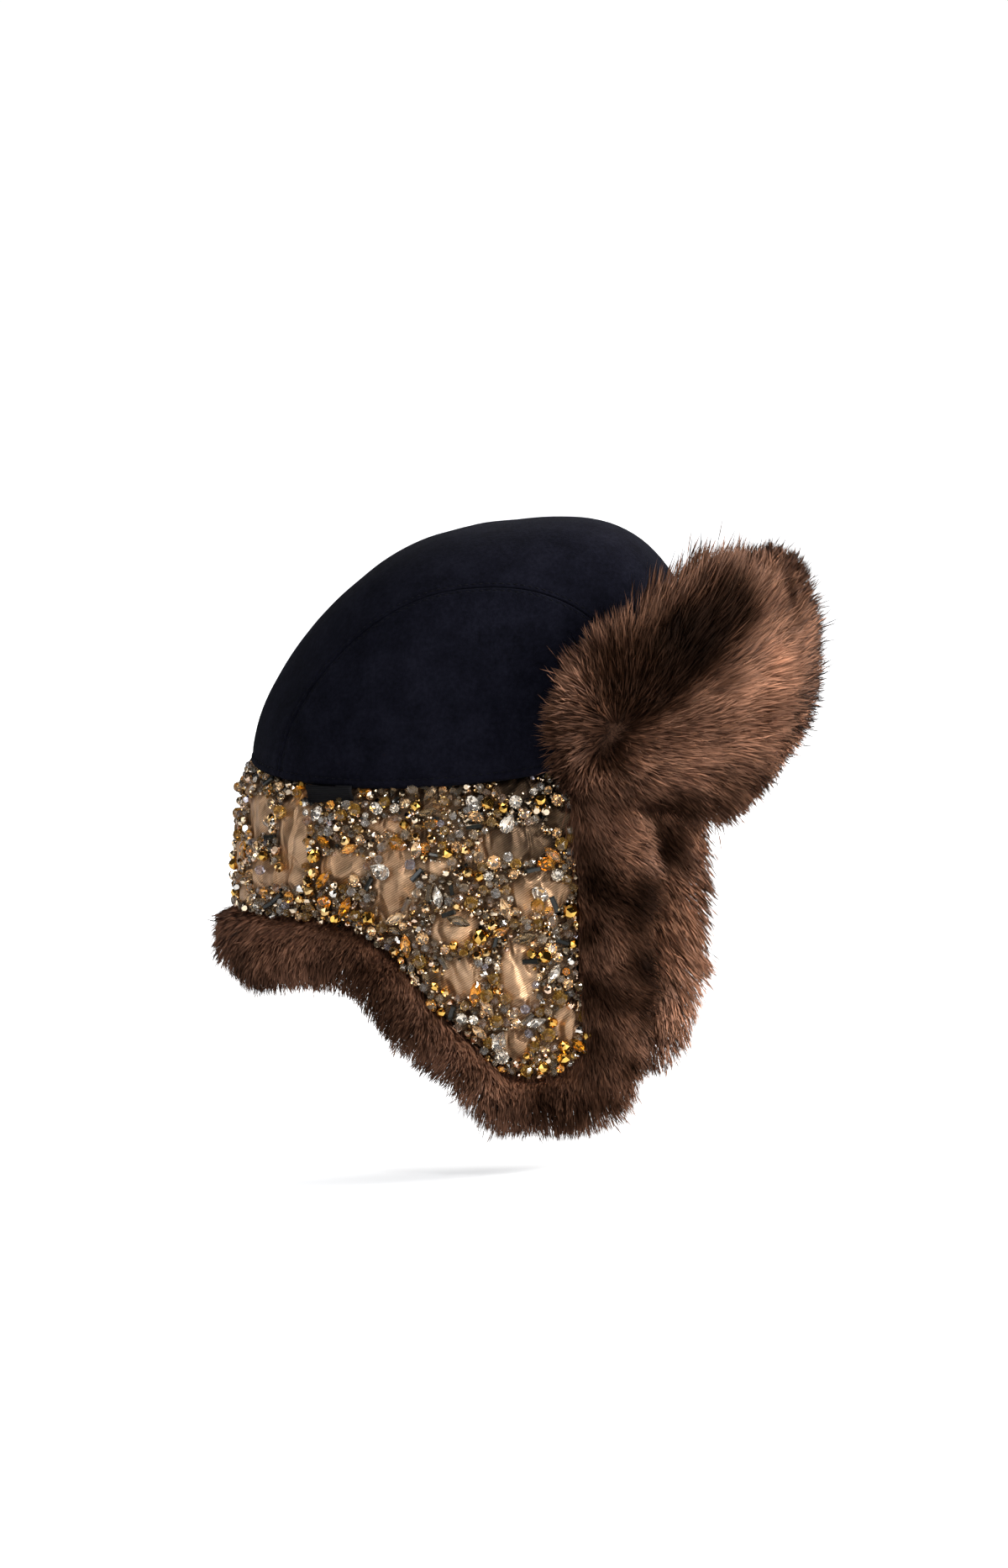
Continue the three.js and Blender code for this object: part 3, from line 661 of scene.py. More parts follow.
# ---------------------------------------------------------------- stones
STONE_COLUMNS = ("kind", "turn", "drop", "tilt", "length")
STONE_ROWS = [
    ("pear", 101.3, 33.0, -123, 10),
    ("navette", 98.9, 72.6, -74, 12),
    ("smoke_navette", 88.3, 75.9, -22, 12),
    ("navette", 74.7, 72.8, 21, 12),
    ("navette", 83.4, 18.2, 61, 11),
    ("navette", 83.0, 24.8, 9, 10),
    ("oval", 93.6, 23.0, -52, 9),
    ("oval", 94.0, 28.5, -29, 8),
    ("amber_bead", 97.1, 23.6, -6, 6.5),
    ("amber_oval", 83.4, 30.3, 12, 8),
    ("amber_bead", 91.2, 68.1, -5, 7),
    ("amber_bead", 75.6, 37.8, -4, 7),
    ("pear", 72.3, 50.0, -30, 11),
    ("baguette", 81.3, 13.2, -26, 7),
    ("baguette", 90.1, 17.7, 59, 7),
    ("baguette", 93.4, 33.1, 3, 7.5),
    ("baguette", 79.9, 53.3, 45, 7.5),
    ("baguette", 77.1, 66.7, 52, 8),
    ("baguette", 82.2, 61.9, 80, 7.5),
    ("baguette", 86.3, 72.0, 12, 7),
    ("baguette", 106.2, 55.6, 6, 7),
    ("baguette", 110.0, 72.2, -74, 8),
    ("chaton", 97.3, 50.3, -6, 7),
    ("amber_navette", 111.1, 50.0, -47, 12),
    ("amber_oval", 109.2, 53.5, -2, 9),
    ("amber_bead", 113.1, 45.0, -8, 6.5),
    ("amber_bead", 113.7, 76.7, -8, 7.5),
    ("amber_bead", 106.2, 71.8, -7, 7),
    ("oval", 107.1, 66.8, -45, 9),
    ("chaton", 103.5, 23.7, -6, 6.5),
    ("chaton", 111.5, 59.2, -8, 6),
    ("chaton", 80.0, 83.0, -4, 6.5),
    ("chaton", 108.3, 92.9, -7, 6.5),
    ("amber_navette", 76.2, 86.1, -88, 12),
    ("oval", 80.0, 41.6, 78, 8),
    ("navette", 84.1, 64.5, -86, 11),
    ("amber_bead", 92.6, 84.2, -5, 8),
    ("amber_navette", 97.1, 83.0, 25, 10),
    ("navette", 102.4, 86.8, 7, 12),
    ("amber_bead", 109.3, 23.7, -7, 6),
    ("amber_bead", 45.5, 21.5, 1, 7),
    ("oval", 39.2, 11.9, 2, 8),
    ("baguette", 34.0, 9.9, 32, 7),
    ("navette", 40.0, 18.6, -47, 10),
    ("navette", 38.2, 26.7, -35, 9),
    ("baguette", 40.1, 33.7, 5, 7),
    ("oval", 27.7, 33.8, -1, 7),
    ("chaton", 33.5, 38.7, 3, 6.5),
    ("clear_bead", 59.2, 31.0, -1, 5),
    ("amber_bead", 66.0, 22.0, -3, 6),
    ("oval", 71.0, 22.0, -45, 8),
    ("oval", 55.7, 22.6, 69, 8),
    ("amber_bead", 55.5, 42.3, -1, 7),
    ("amber_navette", 64.2, 39.5, 18, 10),
    ("amber_navette", 57.8, 53.4, 50, 11),
    ("chaton", 65.4, 54.2, -2, 6.5),
    ("baguette", 69.1, 56.0, 58, 7),
    ("amber_oval", 57.8, 63.7, -10, 8),
    ("amber_navette", 63.0, 66.6, 59, 12),
    ("amber_bead", 68.8, 71.8, -3, 7),
    ("navette", 30.7, 63.4, 43, 10),
    ("baguette", 43.5, 62.1, 32, 7),
    ("baguette", 40.2, 65.5, 21, 7),
    ("amber_oval", 76.3, 39.1, -4, 7),
    ("amber_bead", 79.0, 93.6, -4, 7),
    ("baguette", 83.8, 95.5, -69, 7),
    ("baguette", 103.4, 97.8, -4, 8),
    ("amber_bead", 106.8, 96.1, -7, 7),
    ("navette", 108.4, 104.9, 53, 11),
    ("amber_navette", 89.9, 110.5, 76, 13),
    ("navette", 92.2, 118.1, -57, 11),
    ("amber_bead", 109.2, 116.3, -8, 7.5),
    ("baguette", 101.3, 125.0, 34, 7.5),
    ("navette", 103.1, 127.0, 18, 11),
    ("amber_bead", 94.1, 124.5, -5, 6.5),
    ("pear", 94.2, 134.2, -116, 11),
    ("amber_bead", 105.7, 133.2, -7, 7),
    ("amber_bead", 108.6, 145.2, -7, 6.5),
    ("amber_bead", 103.7, 148.6, -7, 6),
    ("oval", 80.3, 114.6, -61, 7),
    ("baguette", 84.4, 118.9, 61, 7),
    ("chaton", 86.4, 122.0, -5, 6),
    ("navette", 89.8, 129.1, -51, 10),
    ("chaton", 94.4, 141.6, -5, 7),
    ("navette", 96.1, 148.4, -64, 8),
    ("amber_bead", 99.8, 149.4, -6, 6),
    ("amber_oval", 113.8, 125.9, -86, 7),
    ("clear_bead", 112.7, 132.1, -8, 5),
    ("clear_bead", 71.5, 44.8, -3, 4.5),
    ("clear_bead", 78.7, 48.1, -4, 5.5),
    ("clear_bead", 100.6, 48.2, -6, 5),
    ("clear_bead", 97.0, 64.7, -6, 5),
    ("clear_bead", 101.0, 120.1, -6, 5),
    ("clear_bead", 30.3, 36.7, 4, 4),
    ("clear_bead", 38.1, 49.0, 3, 5),
    ("clear_bead", 60.5, 59.8, -1, 5),
]
TINTS = {  # linear colours of the glass and the foil behind it
    "champagne": ((0.94, 0.76, 0.55), (0.87, 0.66, 0.44)),
    "peach": ((0.93, 0.68, 0.50), (0.85, 0.58, 0.42)),
    "clear": ((0.96, 0.91, 0.84), (0.85, 0.79, 0.71)),
    "smoke": ((0.45, 0.36, 0.25), (0.36, 0.29, 0.20)),
    "amber": ((0.95, 0.57, 0.13), (0.85, 0.50, 0.11)),
    "topaz": ((0.93, 0.62, 0.26), (0.75, 0.45, 0.16)),
    "black": ((0.019, 0.020, 0.018), (0.12, 0.13, 0.12)),
    "lilac": ((0.80, 0.76, 0.84), (0.70, 0.67, 0.78)),
}
LOOSE_COLUMNS = ("kind", "tint", "share", "size", "spread")
LOOSE_ROWS = [
    ("bead", "champagne", 0.27, 4.3, 0.7), ("bead", "peach", 0.11, 4.4, 0.6), ("bead", "clear", 0.09, 4.2, 0.7),
    ("bead", "smoke", 0.07, 3.8, 0.5), ("bead", "amber", 0.13, 5.5, 0.8), ("bead", "topaz", 0.14, 4.7, 0.7),
    ("bead", "lilac", 0.03, 4.0, 0.4), ("gem", "champagne", 0.07, 5.0, 0.7), ("gem", "clear", 0.05, 4.8, 0.8),
    ("gem", "topaz", 0.03, 5.2, 0.6), ("oval", "champagne", 0.035, 6.6, 0.7), ("navette", "amber", 0.03, 9.3, 1.0),
    ("navette", "smoke", 0.025, 8.8, 1.0), ("baguette", "black", 0.012, 6.5, 1.0),
]
SEED_TINTS = (("champagne", 0.38), ("smoke", 0.20), ("clear", 0.07), ("topaz", 0.18), ("black", 0.06), ("peach", 0.11))


def cut_stone(outline, table_share=0.56, crown=0.24, pavilion=0.42):
    """A faceted stone on a unit outline: table, a zigzag crown and a pointed pavilion. Faces and whether each is glass."""
    o = np.array(outline, float)
    n = len(o)
    mid = (o + np.roll(o, -1, 0)) / 2 * table_share * 1.04
    top = np.concatenate([mid, np.full((n, 1), crown)], 1)
    girdle = np.concatenate([o, np.full((n, 1), 0.0)], 1)
    below = np.concatenate([o * 0.98, np.full((n, 1), -0.07)], 1)
    tip = np.array([[o[:, 0].mean(), o[:, 1].mean(), -pavilion]])
    points = np.concatenate([top, girdle, below, tip])
    faces, glass = [], []
    for i in range(1, n - 1):
        faces.append((0, i, i + 1)); glass.append(True)
    for i in range(n):
        j = (i + 1) % n
        faces.append((n + i, n + j, i)); glass.append(True)
        faces.append((n + j, j, i)); glass.append(True)
        faces.append((3 * n, 2 * n + j, 2 * n + i)); glass.append(False)
    return points, np.array(faces), np.array(glass)


def outline(kind):
    if kind == "gem":
        a = np.linspace(0, 2 * math.pi, 9)[:-1]
        return np.stack([np.cos(a), np.sin(a)], -1) * 0.5
    if kind == "oval":
        a = np.linspace(0, 2 * math.pi, 11)[:-1]
        return np.stack([np.cos(a), 0.72 * np.sin(a)], -1) * 0.5
    if kind == "navette":
        x = np.array([-1, -0.62, -0.22, 0.22, 0.62, 1])
        y = 0.43 * (1 - np.abs(x) ** 1.9)
        low = np.stack([x, -y], -1)
        return np.concatenate([low, (low * [1, -1])[-2:0:-1]]) * 0.5
    if kind == "pear":
        a = np.linspace(-0.72 * math.pi, 0.72 * math.pi, 9)
        round_end = np.stack([0.40 * np.cos(a) + 0.10, 0.34 * np.sin(a)], -1)
        return np.concatenate([round_end, [[-0.5, 0]]])
    raise ValueError(kind)


def bead_shape(around=7, squash=0.92):
    """A faceted bead: two zigzag belts between small flat ends."""
    rows = [(0.42, 0.30), (0.20, 0.47), (-0.20, 0.47), (-0.42, 0.30)]
    points, faces = [], []
    for r, (z, rad) in enumerate(rows):
        a = (np.arange(around) + 0.5 * (r % 2)) * 2 * math.pi / around
        points.append(np.stack([rad * np.cos(a), rad * np.sin(a), np.full(around, z * squash)], -1))
    for r in range(3):
        for i in range(around):
            j = (i + 1) % around
            a, b, c, d = r * around + i, r * around + j, (r + 1) * around + i, (r + 1) * around + j
            faces += [(a, c, b), (b, c, d)] if r % 2 == 0 else [(a, c, d), (a, d, b)]
    for i in range(1, around - 1):
        faces.append((0, i, i + 1))
        faces.append((3 * around, 3 * around + i + 1, 3 * around + i))
    faces = np.array(faces)
    return np.concatenate(points), faces, np.ones(len(faces), bool)


def seed_shape():
    g = (1 + 5**0.5) / 2
    p = unit(np.array([(-1, g, 0), (1, g, 0), (-1, -g, 0), (1, -g, 0), (0, -1, g), (0, 1, g), (0, -1, -g), (0, 1, -g), (g, 0, -1), (g, 0, 1), (-g, 0, -1), (-g, 0, 1)], float)) * 0.5
    f = [(0, 11, 5), (0, 5, 1), (0, 1, 7), (0, 7, 10), (0, 10, 11), (1, 5, 9), (5, 11, 4), (11, 10, 2), (10, 7, 6), (7, 1, 8),
         (3, 9, 4), (3, 4, 2), (3, 2, 6), (3, 6, 8), (3, 8, 9), (4, 9, 5), (2, 4, 11), (6, 2, 10), (8, 6, 7), (9, 8, 1)]
    return p, np.array(f), np.ones(len(f), bool)


def baguette_shape():
    low = np.array([(-0.5, -0.16), (0.5, -0.16), (0.5, 0.16), (-0.5, 0.16)])
    rings = [(1.0, -0.12), (1.0, 0.05), (0.80, 0.15)]
    points = np.concatenate([np.concatenate([low * [1 - (1 - k) * 0.45, k ** 2.2], np.full((4, 1), z)], 1) for k, z in rings])
    faces = [(0, 2, 1), (0, 3, 2), (8, 9, 10), (8, 10, 11)]
    for r in range(2):
        for i in range(4):
            j = (i + 1) % 4
            a, b, c, d = r * 4 + i, r * 4 + j, r * 4 + 4 + i, r * 4 + 4 + j
            faces += [(a, b, d), (a, d, c)]
    faces = np.array(faces)
    return points, faces, np.ones(len(faces), bool)


def outward_faces(shape):
    """Turns every triangle of a convex shape to face away from its middle."""
    p, f, g = shape
    mid = p.mean(0)
    a, b, c = p[f[:, 0]], p[f[:, 1]], p[f[:, 2]]
    wrong = (np.cross(b - a, c - a) * ((a + b + c) / 3 - mid)).sum(-1) < 0
    f = f.copy()
    f[wrong] = f[wrong][:, ::-1]
    return p, f, g


SHAPES = {k: outward_faces(v) for k, v in {
    "gem": cut_stone(outline("gem")), "oval": cut_stone(outline("oval"), 0.58, 0.22, 0.34),
    "navette": cut_stone(outline("navette"), 0.56, 0.15, 0.20), "pear": cut_stone(outline("pear"), 0.55, 0.20, 0.28),
    "bead": bead_shape(), "seed": seed_shape(), "baguette": baguette_shape()}.items()}
KINDS = {  # kind of a table row: shape, tints to pick from
    "pear": ("pear", ("clear", "clear", "smoke")), "navette": ("navette", ("champagne", "clear", "smoke", "champagne")),
    "smoke_navette": ("navette", ("smoke",)), "oval": ("oval", ("champagne", "peach", "clear", "topaz")),
    "amber_bead": ("bead", ("amber",)), "amber_oval": ("oval", ("amber", "topaz")), "amber_navette": ("navette", ("amber", "topaz")),
    "baguette": ("baguette", ("black", "black", "smoke")), "chaton": ("gem", ("clear", "champagne")), "clear_bead": ("bead", ("clear", "lilac")),
}


def band_outline():
    share = np.linspace(0, 1, 160)
    _, edge, _ = station(share)
    turns = np.linspace(edge[-1, 0], 0.0, 60)
    hem = np.stack([turns, hem_drop(turns) + 1.2], -1)
    loop = np.concatenate([edge, hem, [[0.0, 70.0]]])
    return np.stack([np.degrees(loop[:, 0]) * MM_PER_TURN, loop[:, 1]], -1)


def inside_distance(points, loop):
    """Signed distance of flat points to a closed outline, positive inside."""
    a, b = loop, np.roll(loop, -1, 0)
    inside = np.zeros(len(points), bool)
    best = np.full(len(points), 1e9)
    for p0, p1 in zip(a, b):
        d = p1 - p0
        k = np.clip(((points - p0) @ d) / max(1e-9, d @ d), 0, 1)
        best = np.minimum(best, np.linalg.norm(points - (p0 + k[:, None] * d), axis=1))
        crossing = (p0[1] > points[:, 1]) != (p1[1] > points[:, 1])
        x = p0[0] + (points[:, 1] - p0[1]) / (d[1] if abs(d[1]) > 1e-12 else 1e-12) * d[0]
        inside ^= crossing & (points[:, 0] < x)
    return np.where(inside, best, -best)


def paving(seed):
    """Where the stones go on the right band: rows of (shape, turn, drop, tilt, length, tint, height, lean, spin)."""
    rng = np.random.default_rng(seed)
    loop = band_outline()
    placed, cells = [], {}

    def free(x, y, r, packing):
        cx, cy = int(x // 8), int(y // 8)
        for i in (cx - 1, cx, cx + 1):
            for j in (cy - 1, cy, cy + 1):
                for (px, py, pr) in cells.get((i, j), ()):
                    if (px - x) ** 2 + (py - y) ** 2 < ((pr + r) * packing) ** 2:
                        return False
        return True

    def take(x, y, r):
        cells.setdefault((int(x // 8), int(y // 8)), []).append((x, y, r))

    for kind, turn, drop, tilt, length in STONE_ROWS:
        shape, tints = KINDS[kind]
        x = turn * MM_PER_TURN
        reach = length * (0.5 if shape in ("bead", "gem") else 0.30)
        ends = (0.0,) if shape in ("bead", "gem") else (-0.27, 0.0, 0.27)
        for e in ends:
            take(x + math.cos(math.radians(tilt)) * length * e, drop - math.sin(math.radians(tilt)) * length * e, reach if len(ends) == 1 else length * 0.2)
        lift = {"bead": 0.42, "gem": 0.36, "baguette": 0.3}.get(shape, 0.2) * length + rng.uniform(0.3, 1.3)
        placed.append((shape, turn, drop, math.radians(tilt), length, str(rng.choice(tints)), lift, rng.uniform(0.04, 0.34), rng.uniform(0, 6.28)))

    def scatter(count, rows, packing, gap, edge_inset, layer):
        """Throws stones on the bare satin between the islands until count have found room or none does."""
        kinds = [r[0] for r in rows]
        share = np.array([r[2] for r in rows], float)
        tries = count * 22
        x = rng.uniform(0, 118 * MM_PER_TURN, tries)
        y = rng.uniform(0, 155, tries)
        pick = rng.choice(len(rows), tries, p=share / share.sum())
        near = inside_distance(np.stack([x, y], -1), loop)
        bare = island(np.radians(x / MM_PER_TURN), y)
        ragged = (noise(np.stack([x, y, 0 * x], -1), 5.0, seed + 3) - 0.5) * 0.42
        label = (np.abs(x / MM_PER_TURN - 56.8) < 8.2) & (y < hem_drop(math.radians(56.8)) + 7.6)
        found = 0
        for i in range(tries):
            if found >= count:
                break
            kind, tint, _, size, spread = rows[pick[i]]
            size = max(size * 0.7, size + rng.normal(0, spread))
            r = size * (0.5 if kind in ("bead", "gem", "seed") else 0.36)
            if near[i] < edge_inset * r or bare[i] > gap + ragged[i] or label[i] or not free(x[i], y[i], r, packing):
                continue
            take(x[i], y[i], r)
            found += 1
            turn = x[i] / MM_PER_TURN
            flat = {"bead": 0.40, "gem": 0.34, "seed": 0.45, "baguette": 0.26}.get(kind, 0.22) * size
            placed.append((kind, turn, y[i], rng.uniform(-math.pi, math.pi), size, tint, flat + layer * rng.uniform(0, 1) ** 2,
                           abs(rng.normal(0, 0.32)), rng.uniform(0, 6.28)))
        return found

    first = scatter(1000 if seed < 10 else 760, LOOSE_ROWS, 0.78, -0.10, 0.30, 1.9)
    seeds = [("seed", t, s, 2.0, 0.25) for t, s in SEED_TINTS]
    second = scatter(1000 if seed < 10 else 500, seeds, 0.60, -0.06, 0.4, 2.2)
    return placed, first, second


def crystals(side, seed, materials):
    placed, first, second = paving(seed)
    rng = np.random.default_rng(seed + 50)
    turn = np.radians([s[1] for s in placed])
    drop = np.array([s[2] for s in placed])
    base = band_point(turn, drop, satin_relief(turn, drop) * smooth(3, 12, drop - hem_drop(turn)))
    e = 0.004
    along = unit(band_point(turn + e, drop) - band_point(turn - e, drop))
    up = unit(band_point(turn, drop - 0.4) - band_point(turn, drop + 0.4))
    out = unit(np.cross(along, up))
    away = base * [1, 1, 0] - [0, MIDDLE, 0]
    out = out * np.where((out * away).sum(-1, keepdims=True) < 0, -1, 1)
    # along runs to the front (image right), up is up, out faces away from the head
    points, faces, tints, slots, count = [], [], [], [], 0
    for i, (shape, _, _, tilt, length, tint, lift, lean, spin) in enumerate(placed):
        p, f, glass = SHAPES[shape]
        a, u, o = along[i], up[i], out[i]
        if shape in ("bead", "seed"):
            q = rng.normal(size=4)
            q /= np.linalg.norm(q)
            w, x, y, z = q
            turned = np.array([[1 - 2 * (y * y + z * z), 2 * (x * y - z * w), 2 * (x * z + y * w)],
                               [2 * (x * y + z * w), 1 - 2 * (x * x + z * z), 2 * (y * z - x * w)],
                               [2 * (x * z - y * w), 2 * (y * z + x * w), 1 - 2 * (x * x + y * y)]])
            frame3 = turned
        else:
            first_axis = math.cos(tilt) * a + math.sin(tilt) * u
            axis = math.cos(spin) * a + math.sin(spin) * u
            o2 = math.cos(lean) * o + math.sin(lean) * axis
            first_axis = unit(first_axis - o2 * (first_axis @ o2))
            frame3 = np.stack([first_axis, np.cross(o2, first_axis), o2])
        points.append(base[i] + o * lift + (p * length) @ frame3)
        faces.append(f + count)
        count += len(p)
        glass_tint, foil_tint = TINTS[tint]
        vary = rng.uniform(0.9, 1.06)
        dark = tint == "black"
        foiled = shape in ("gem", "oval", "navette", "pear")
        # the girdle's vertices are shared, so the tint is that of the glass; the foil takes the same tint
        tints.append(np.clip(np.tile(np.array(glass_tint) * vary, (len(p), 1)), 0, 1))
        metal = shape in ("bead", "seed") and rng.uniform() < (0.40 if shape == "bead" else 0.5)
        slots.append(np.where(glass & ~metal, 2 if dark else 0, 1 if foiled or metal else 0))
    points, faces, tints, slots = map(np.concatenate, (points, faces, tints, slots))
    if side == "left":
        points[:, 0] *= -1
        faces = faces[:, ::-1]
    ob = piece(f"crystals_{side}", points, faces, materials, flat=True, colors=tints, attribute="tint")
    ob.data.polygons.foreach_set("material_index", slots.astype(np.int32))
    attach(ob, "root")
    print(f"crystals {side}: {len(placed)} stones, {first} medium, {second} seeds, {len(faces)} triangles")
    return ob


# ---------------------------------------------------------------- the hide under the fur
DOWN = np.array([0, 0, -1.0])


def closed_curve(points, count):
    """A closed Catmull-Rom curve through the points, at count places evenly by length."""
    p = np.array(points, float)
    n = len(p)
    t = np.arange(n * 12) / 12.0
    i = t.astype(int)
    k = (t - i)[:, None]
    a, b, c, d = p[(i - 1) % n], p[i % n], p[(i + 1) % n], p[(i + 2) % n]
    q = 0.5 * (2 * b + (c - a) * k + (2 * a - 5 * b + 4 * c - d) * k**2 + (3 * b - a - 3 * c + d) * k**3)
    q = np.concatenate([q, q[:1]])
    along = arc(q)
    at = np.linspace(0, along[-1], count + 1)[:-1]
    return np.stack([np.interp(at, along, q[:, j]) for j in range(q.shape[1])], -1)


def loop_normals(p, inner, each=False):
    """Unit normals of a grid whose second axis is a closed section, away from the points inner."""
    a = np.gradient(p, axis=0)
    b = np.roll(p, -1, 1) - np.roll(p, 1, 1)
    n = unit(np.cross(a, b))
    away = n * (p - inner)
    away = away.sum(-1, keepdims=True) if each else away.sum((1, 2), keepdims=True)  # a section turns one way all round
    return n * np.where(away < 0, -1, 1)


def flap_hide(stations=112):
    """The right flap's hide: points, normals, the way the hair lies, its length and how thick it grows."""
    share = np.linspace(0, 1, stations)
    top, edge, fur = station(share)
    slack = -SATIN - 2.2 - 2 * smooth(0.78, 0.95, share)
    ks = [0.02, 0.2, 0.45, 0.72, 0.88, 0.95]
    rows = []  # (turn and drop, out, how far the hair lies outward, length, density, lift)
    for k in ks:
        shown = k > 0.86
        rows.append((mix(top, edge, k), slack, 1.0 if shown else 0.0, 13.0, 1.2 if shown else 0.0, 0.1, 1.0 if k > 0.9 else 0.0))
    for reach, outer, _ in HIDE_ROWS:
        near = 1 - smooth(0.05, 0.34, reach)
        rows.append((mix(edge, fur, reach), np.full(stations, outer), 1.0, mix(16.5, 14.0, near), mix(1.0, 1.3, near), mix(1.0, 1.35, near), 1.0 if reach < 0.2 else 0.0))
    for reach, _, inner in HIDE_ROWS[::-1]:
        rows.append((mix(edge, fur, reach), np.full(stations, inner), 0.85, 14.5, 0.8, 1.0, 0.0))
    for k in ks[::-1]:
        rows.append((mix(top, edge, k), slack - (PILE - 4.5), 0.3, 12.5, 0.62, 1.0, 0.0))
    sec = np.stack([band_point(at[:, 0], at[:, 1], out) for at, out, *_ in rows], 1)
    inner = sec.mean(1, keepdims=True)
    # each section keeps its columns, made finer between
    fine = 2
    cols = len(rows)
    t = np.arange((cols) * fine) / fine
    i = t.astype(int)
    k = (t - i)[None, :, None]
    a, b, c, d = sec[:, (i - 1) % cols], sec[:, i % cols], sec[:, (i + 1) % cols], sec[:, (i + 2) % cols]
    p = 0.5 * (2 * b + (c - a) * k + (2 * a - 5 * b + 4 * c - d) * k**2 + (3 * b - a - 3 * c + d) * k**3)
    pick = lambda j: mix(np.array([r[j] for r in rows], float)[i % cols], np.array([r[j] for r in rows], float)[(i + 1) % cols], (t - i))
    outward, length, density, lift, rim = pick(2), pick(3), pick(4), pick(5), pick(6)
    n = loop_normals(p, inner)
    p[0, :, 0] = 0.3  # the two hides meet at the back seam
    edge_at = band_point(edge[:, 0], edge[:, 1])
    fur_at = band_point(fur[:, 0], fur[:, 1])
    reach = unit(fur_at - edge_at)[:, None, :]
    flow = reach * outward[None, :, None] + DOWN * mix(0.95, 0.42, outward)[None, :, None]
    front = smooth(0.62, 0.78, share)[:, None, None]  # along the front edge the hair hangs more
    flow = unit(flow + DOWN * 0.35 * front)
    grid = lambda v: np.broadcast_to(np.asarray(v, float)[None, :], p.shape[:2]).copy()
    length = grid(length)
    length *= 1 + 0.12 * smooth(0.6, 0.75, share)[:, None]
    around = np.degrees(edge[:, 0])
    slope = smooth(36, 50, around) * (1 - smooth(0.50, 0.62, share))
    length *= 1 - 0.20 * slope[:, None]
    # the hair is shorter where the satin starts under the hem and at the nape
    return dict(p=p, n=n, flow=flow, length=length, density=grid(density), lift=grid(lift), lining=grid(outward) < 0.6, rim=grid(rim))


def visor_frame(side):
    at = np.abs(side)
    turn = np.radians(read(VISOR["at"], VISOR["turn"], at))
    here = crown_point(turn, 0 * turn)
    step = crown_point(turn + 0.01, 0 * turn) - here
    out = unit(np.stack([-step[:, 1], step[:, 0], 0 * turn], -1))
    out = out * np.where(((out * (here - [0, MIDDLE, 0]))[:, :2]).sum(-1, keepdims=True) < 0, -1, 1)
    flip = np.where(side > 0, -1.0, 1.0)[:, None]
    here, out = here * np.concatenate([flip, flip * 0 + 1, flip * 0 + 1], 1), out * np.concatenate([flip, flip * 0 + 1, flip * 0 + 1], 1)
    get = {k: read(VISOR["at"], VISOR[k], at) for k in VISOR_COLUMNS[1:]}
    return here, out, get


def skin_line(get, offset):
    rise = np.array([r for r, _ in SKIN_ROWS])[None, :]
    lean = np.array([l for _, l in SKIN_ROWS])[None, :]
    p = 0.5 + get["lean"][:, None] * lean + offset
    h = -2.5 + (get["height"][:, None] + 2.5) * rise - offset * 0.35 * (1 - rise)
    return np.stack([p, h], -1)


COMB_COLUMNS = ("x", "y", "z", "right", "up")  # which way the right half's hair lies, as seen from that side
COMB_ROWS = [
    (-77.1, -41.3, -79.8, -1, 0.2), (-98.4, -47.8, -96, -1, -0.05), (-82.9, -37.3, -109.8, -0.8, -0.55), (-68.1, -50.7, -63.4, -0.6, 0.8),
    (-52.5, -63.9, -45.2, -0.35, 0.94), (-29.4, -76.4, -31.2, -0.3, 0.95), (-74, -105, -35.6, 0.6, 0.8), (-47.6, -133.6, -31.7, 0.35, 0.94),
    (3.4, -143.6, -28.3, 0.15, 1), (-15.8, -150, -54.7, 0.7, 0.7), (7.8, -149.5, -75.7, 0.9, 0.4), (14.7, -123, -125.7, 0.8, -0.5),
    (-33.3, -119, -129.4, 0.6, -0.8), (-53.2, -110.4, -132.5, 0.5, -0.87), (-68.2, -129.4, -56.5, 0.6, 0.8), (-83.7, -113.2, -58, 0.55, 0.83),
    (-95.2, -95.7, -68.7, 0.4, 0.92), (-101, -74.1, -66.2, -0.12, 1), (-98.7, -84.9, -90, 0.5, 0.85), (-85.2, -110.7, -84.7, 0.85, 0.5),
    (-58.2, -134.2, -85.4, 0.92, 0.4), (-94.2, -82.5, -106.6, 0.95, 0), (-65.7, -114, -114.7, 0.95, -0.2), (-74, -116.8, -98.4, 0.96, 0.2),
    (-90.1, -62.3, -119.1, 0.75, -0.6), (-77.8, -87, -127.3, 0.8, -0.6), (-65, -97.9, -136.3, 0.7, -0.7), (-101.4, -58.3, -87.4, -0.9, 0.35),
    (-90.8, -88.1, -46.9, 0.25, 0.97), (-52.9, -139.8, -68.2, 0.8, 0.6), (-100.9, -59.6, -74, -0.6, 0.75), (-99.8, -60.6, -105.1, 0.8, -0.35),
    (-101.1, -67.4, -99.6, 0.9, -0.15), (-101.3, -74.8, -93.1, 0.85, 0.25), (-100.5, -81.8, -85.9, 0.7, 0.6), (-97.1, -54.1, -110.1, 0.6, -0.7),
    (-99.4, -53.1, -100.6, -0.9, -0.25), (-101.7, -60, -95, -0.92, -0.05), (-103, -66.9, -88.3, -0.85, 0.3), (-102.3, -73.5, -81.1, -0.7, 0.65),
    (-96.6, -47.9, -107.3, -0.8, -0.5), (-81.8, -39.8, -103.7, -0.85, -0.4), (-80.4, -38.8, -91.9, -0.95, 0.1), (-98, -65.8, -109.7, 0.85, -0.45),
    (-97.6, -76.2, -104.7, 0.95, -0.15), (-96.7, -84.7, -97.7, 0.9, 0.15), (-91.2, -59.9, -118.1, 0.7, -0.7),
]
COMB = np.array(COMB_ROWS, float)


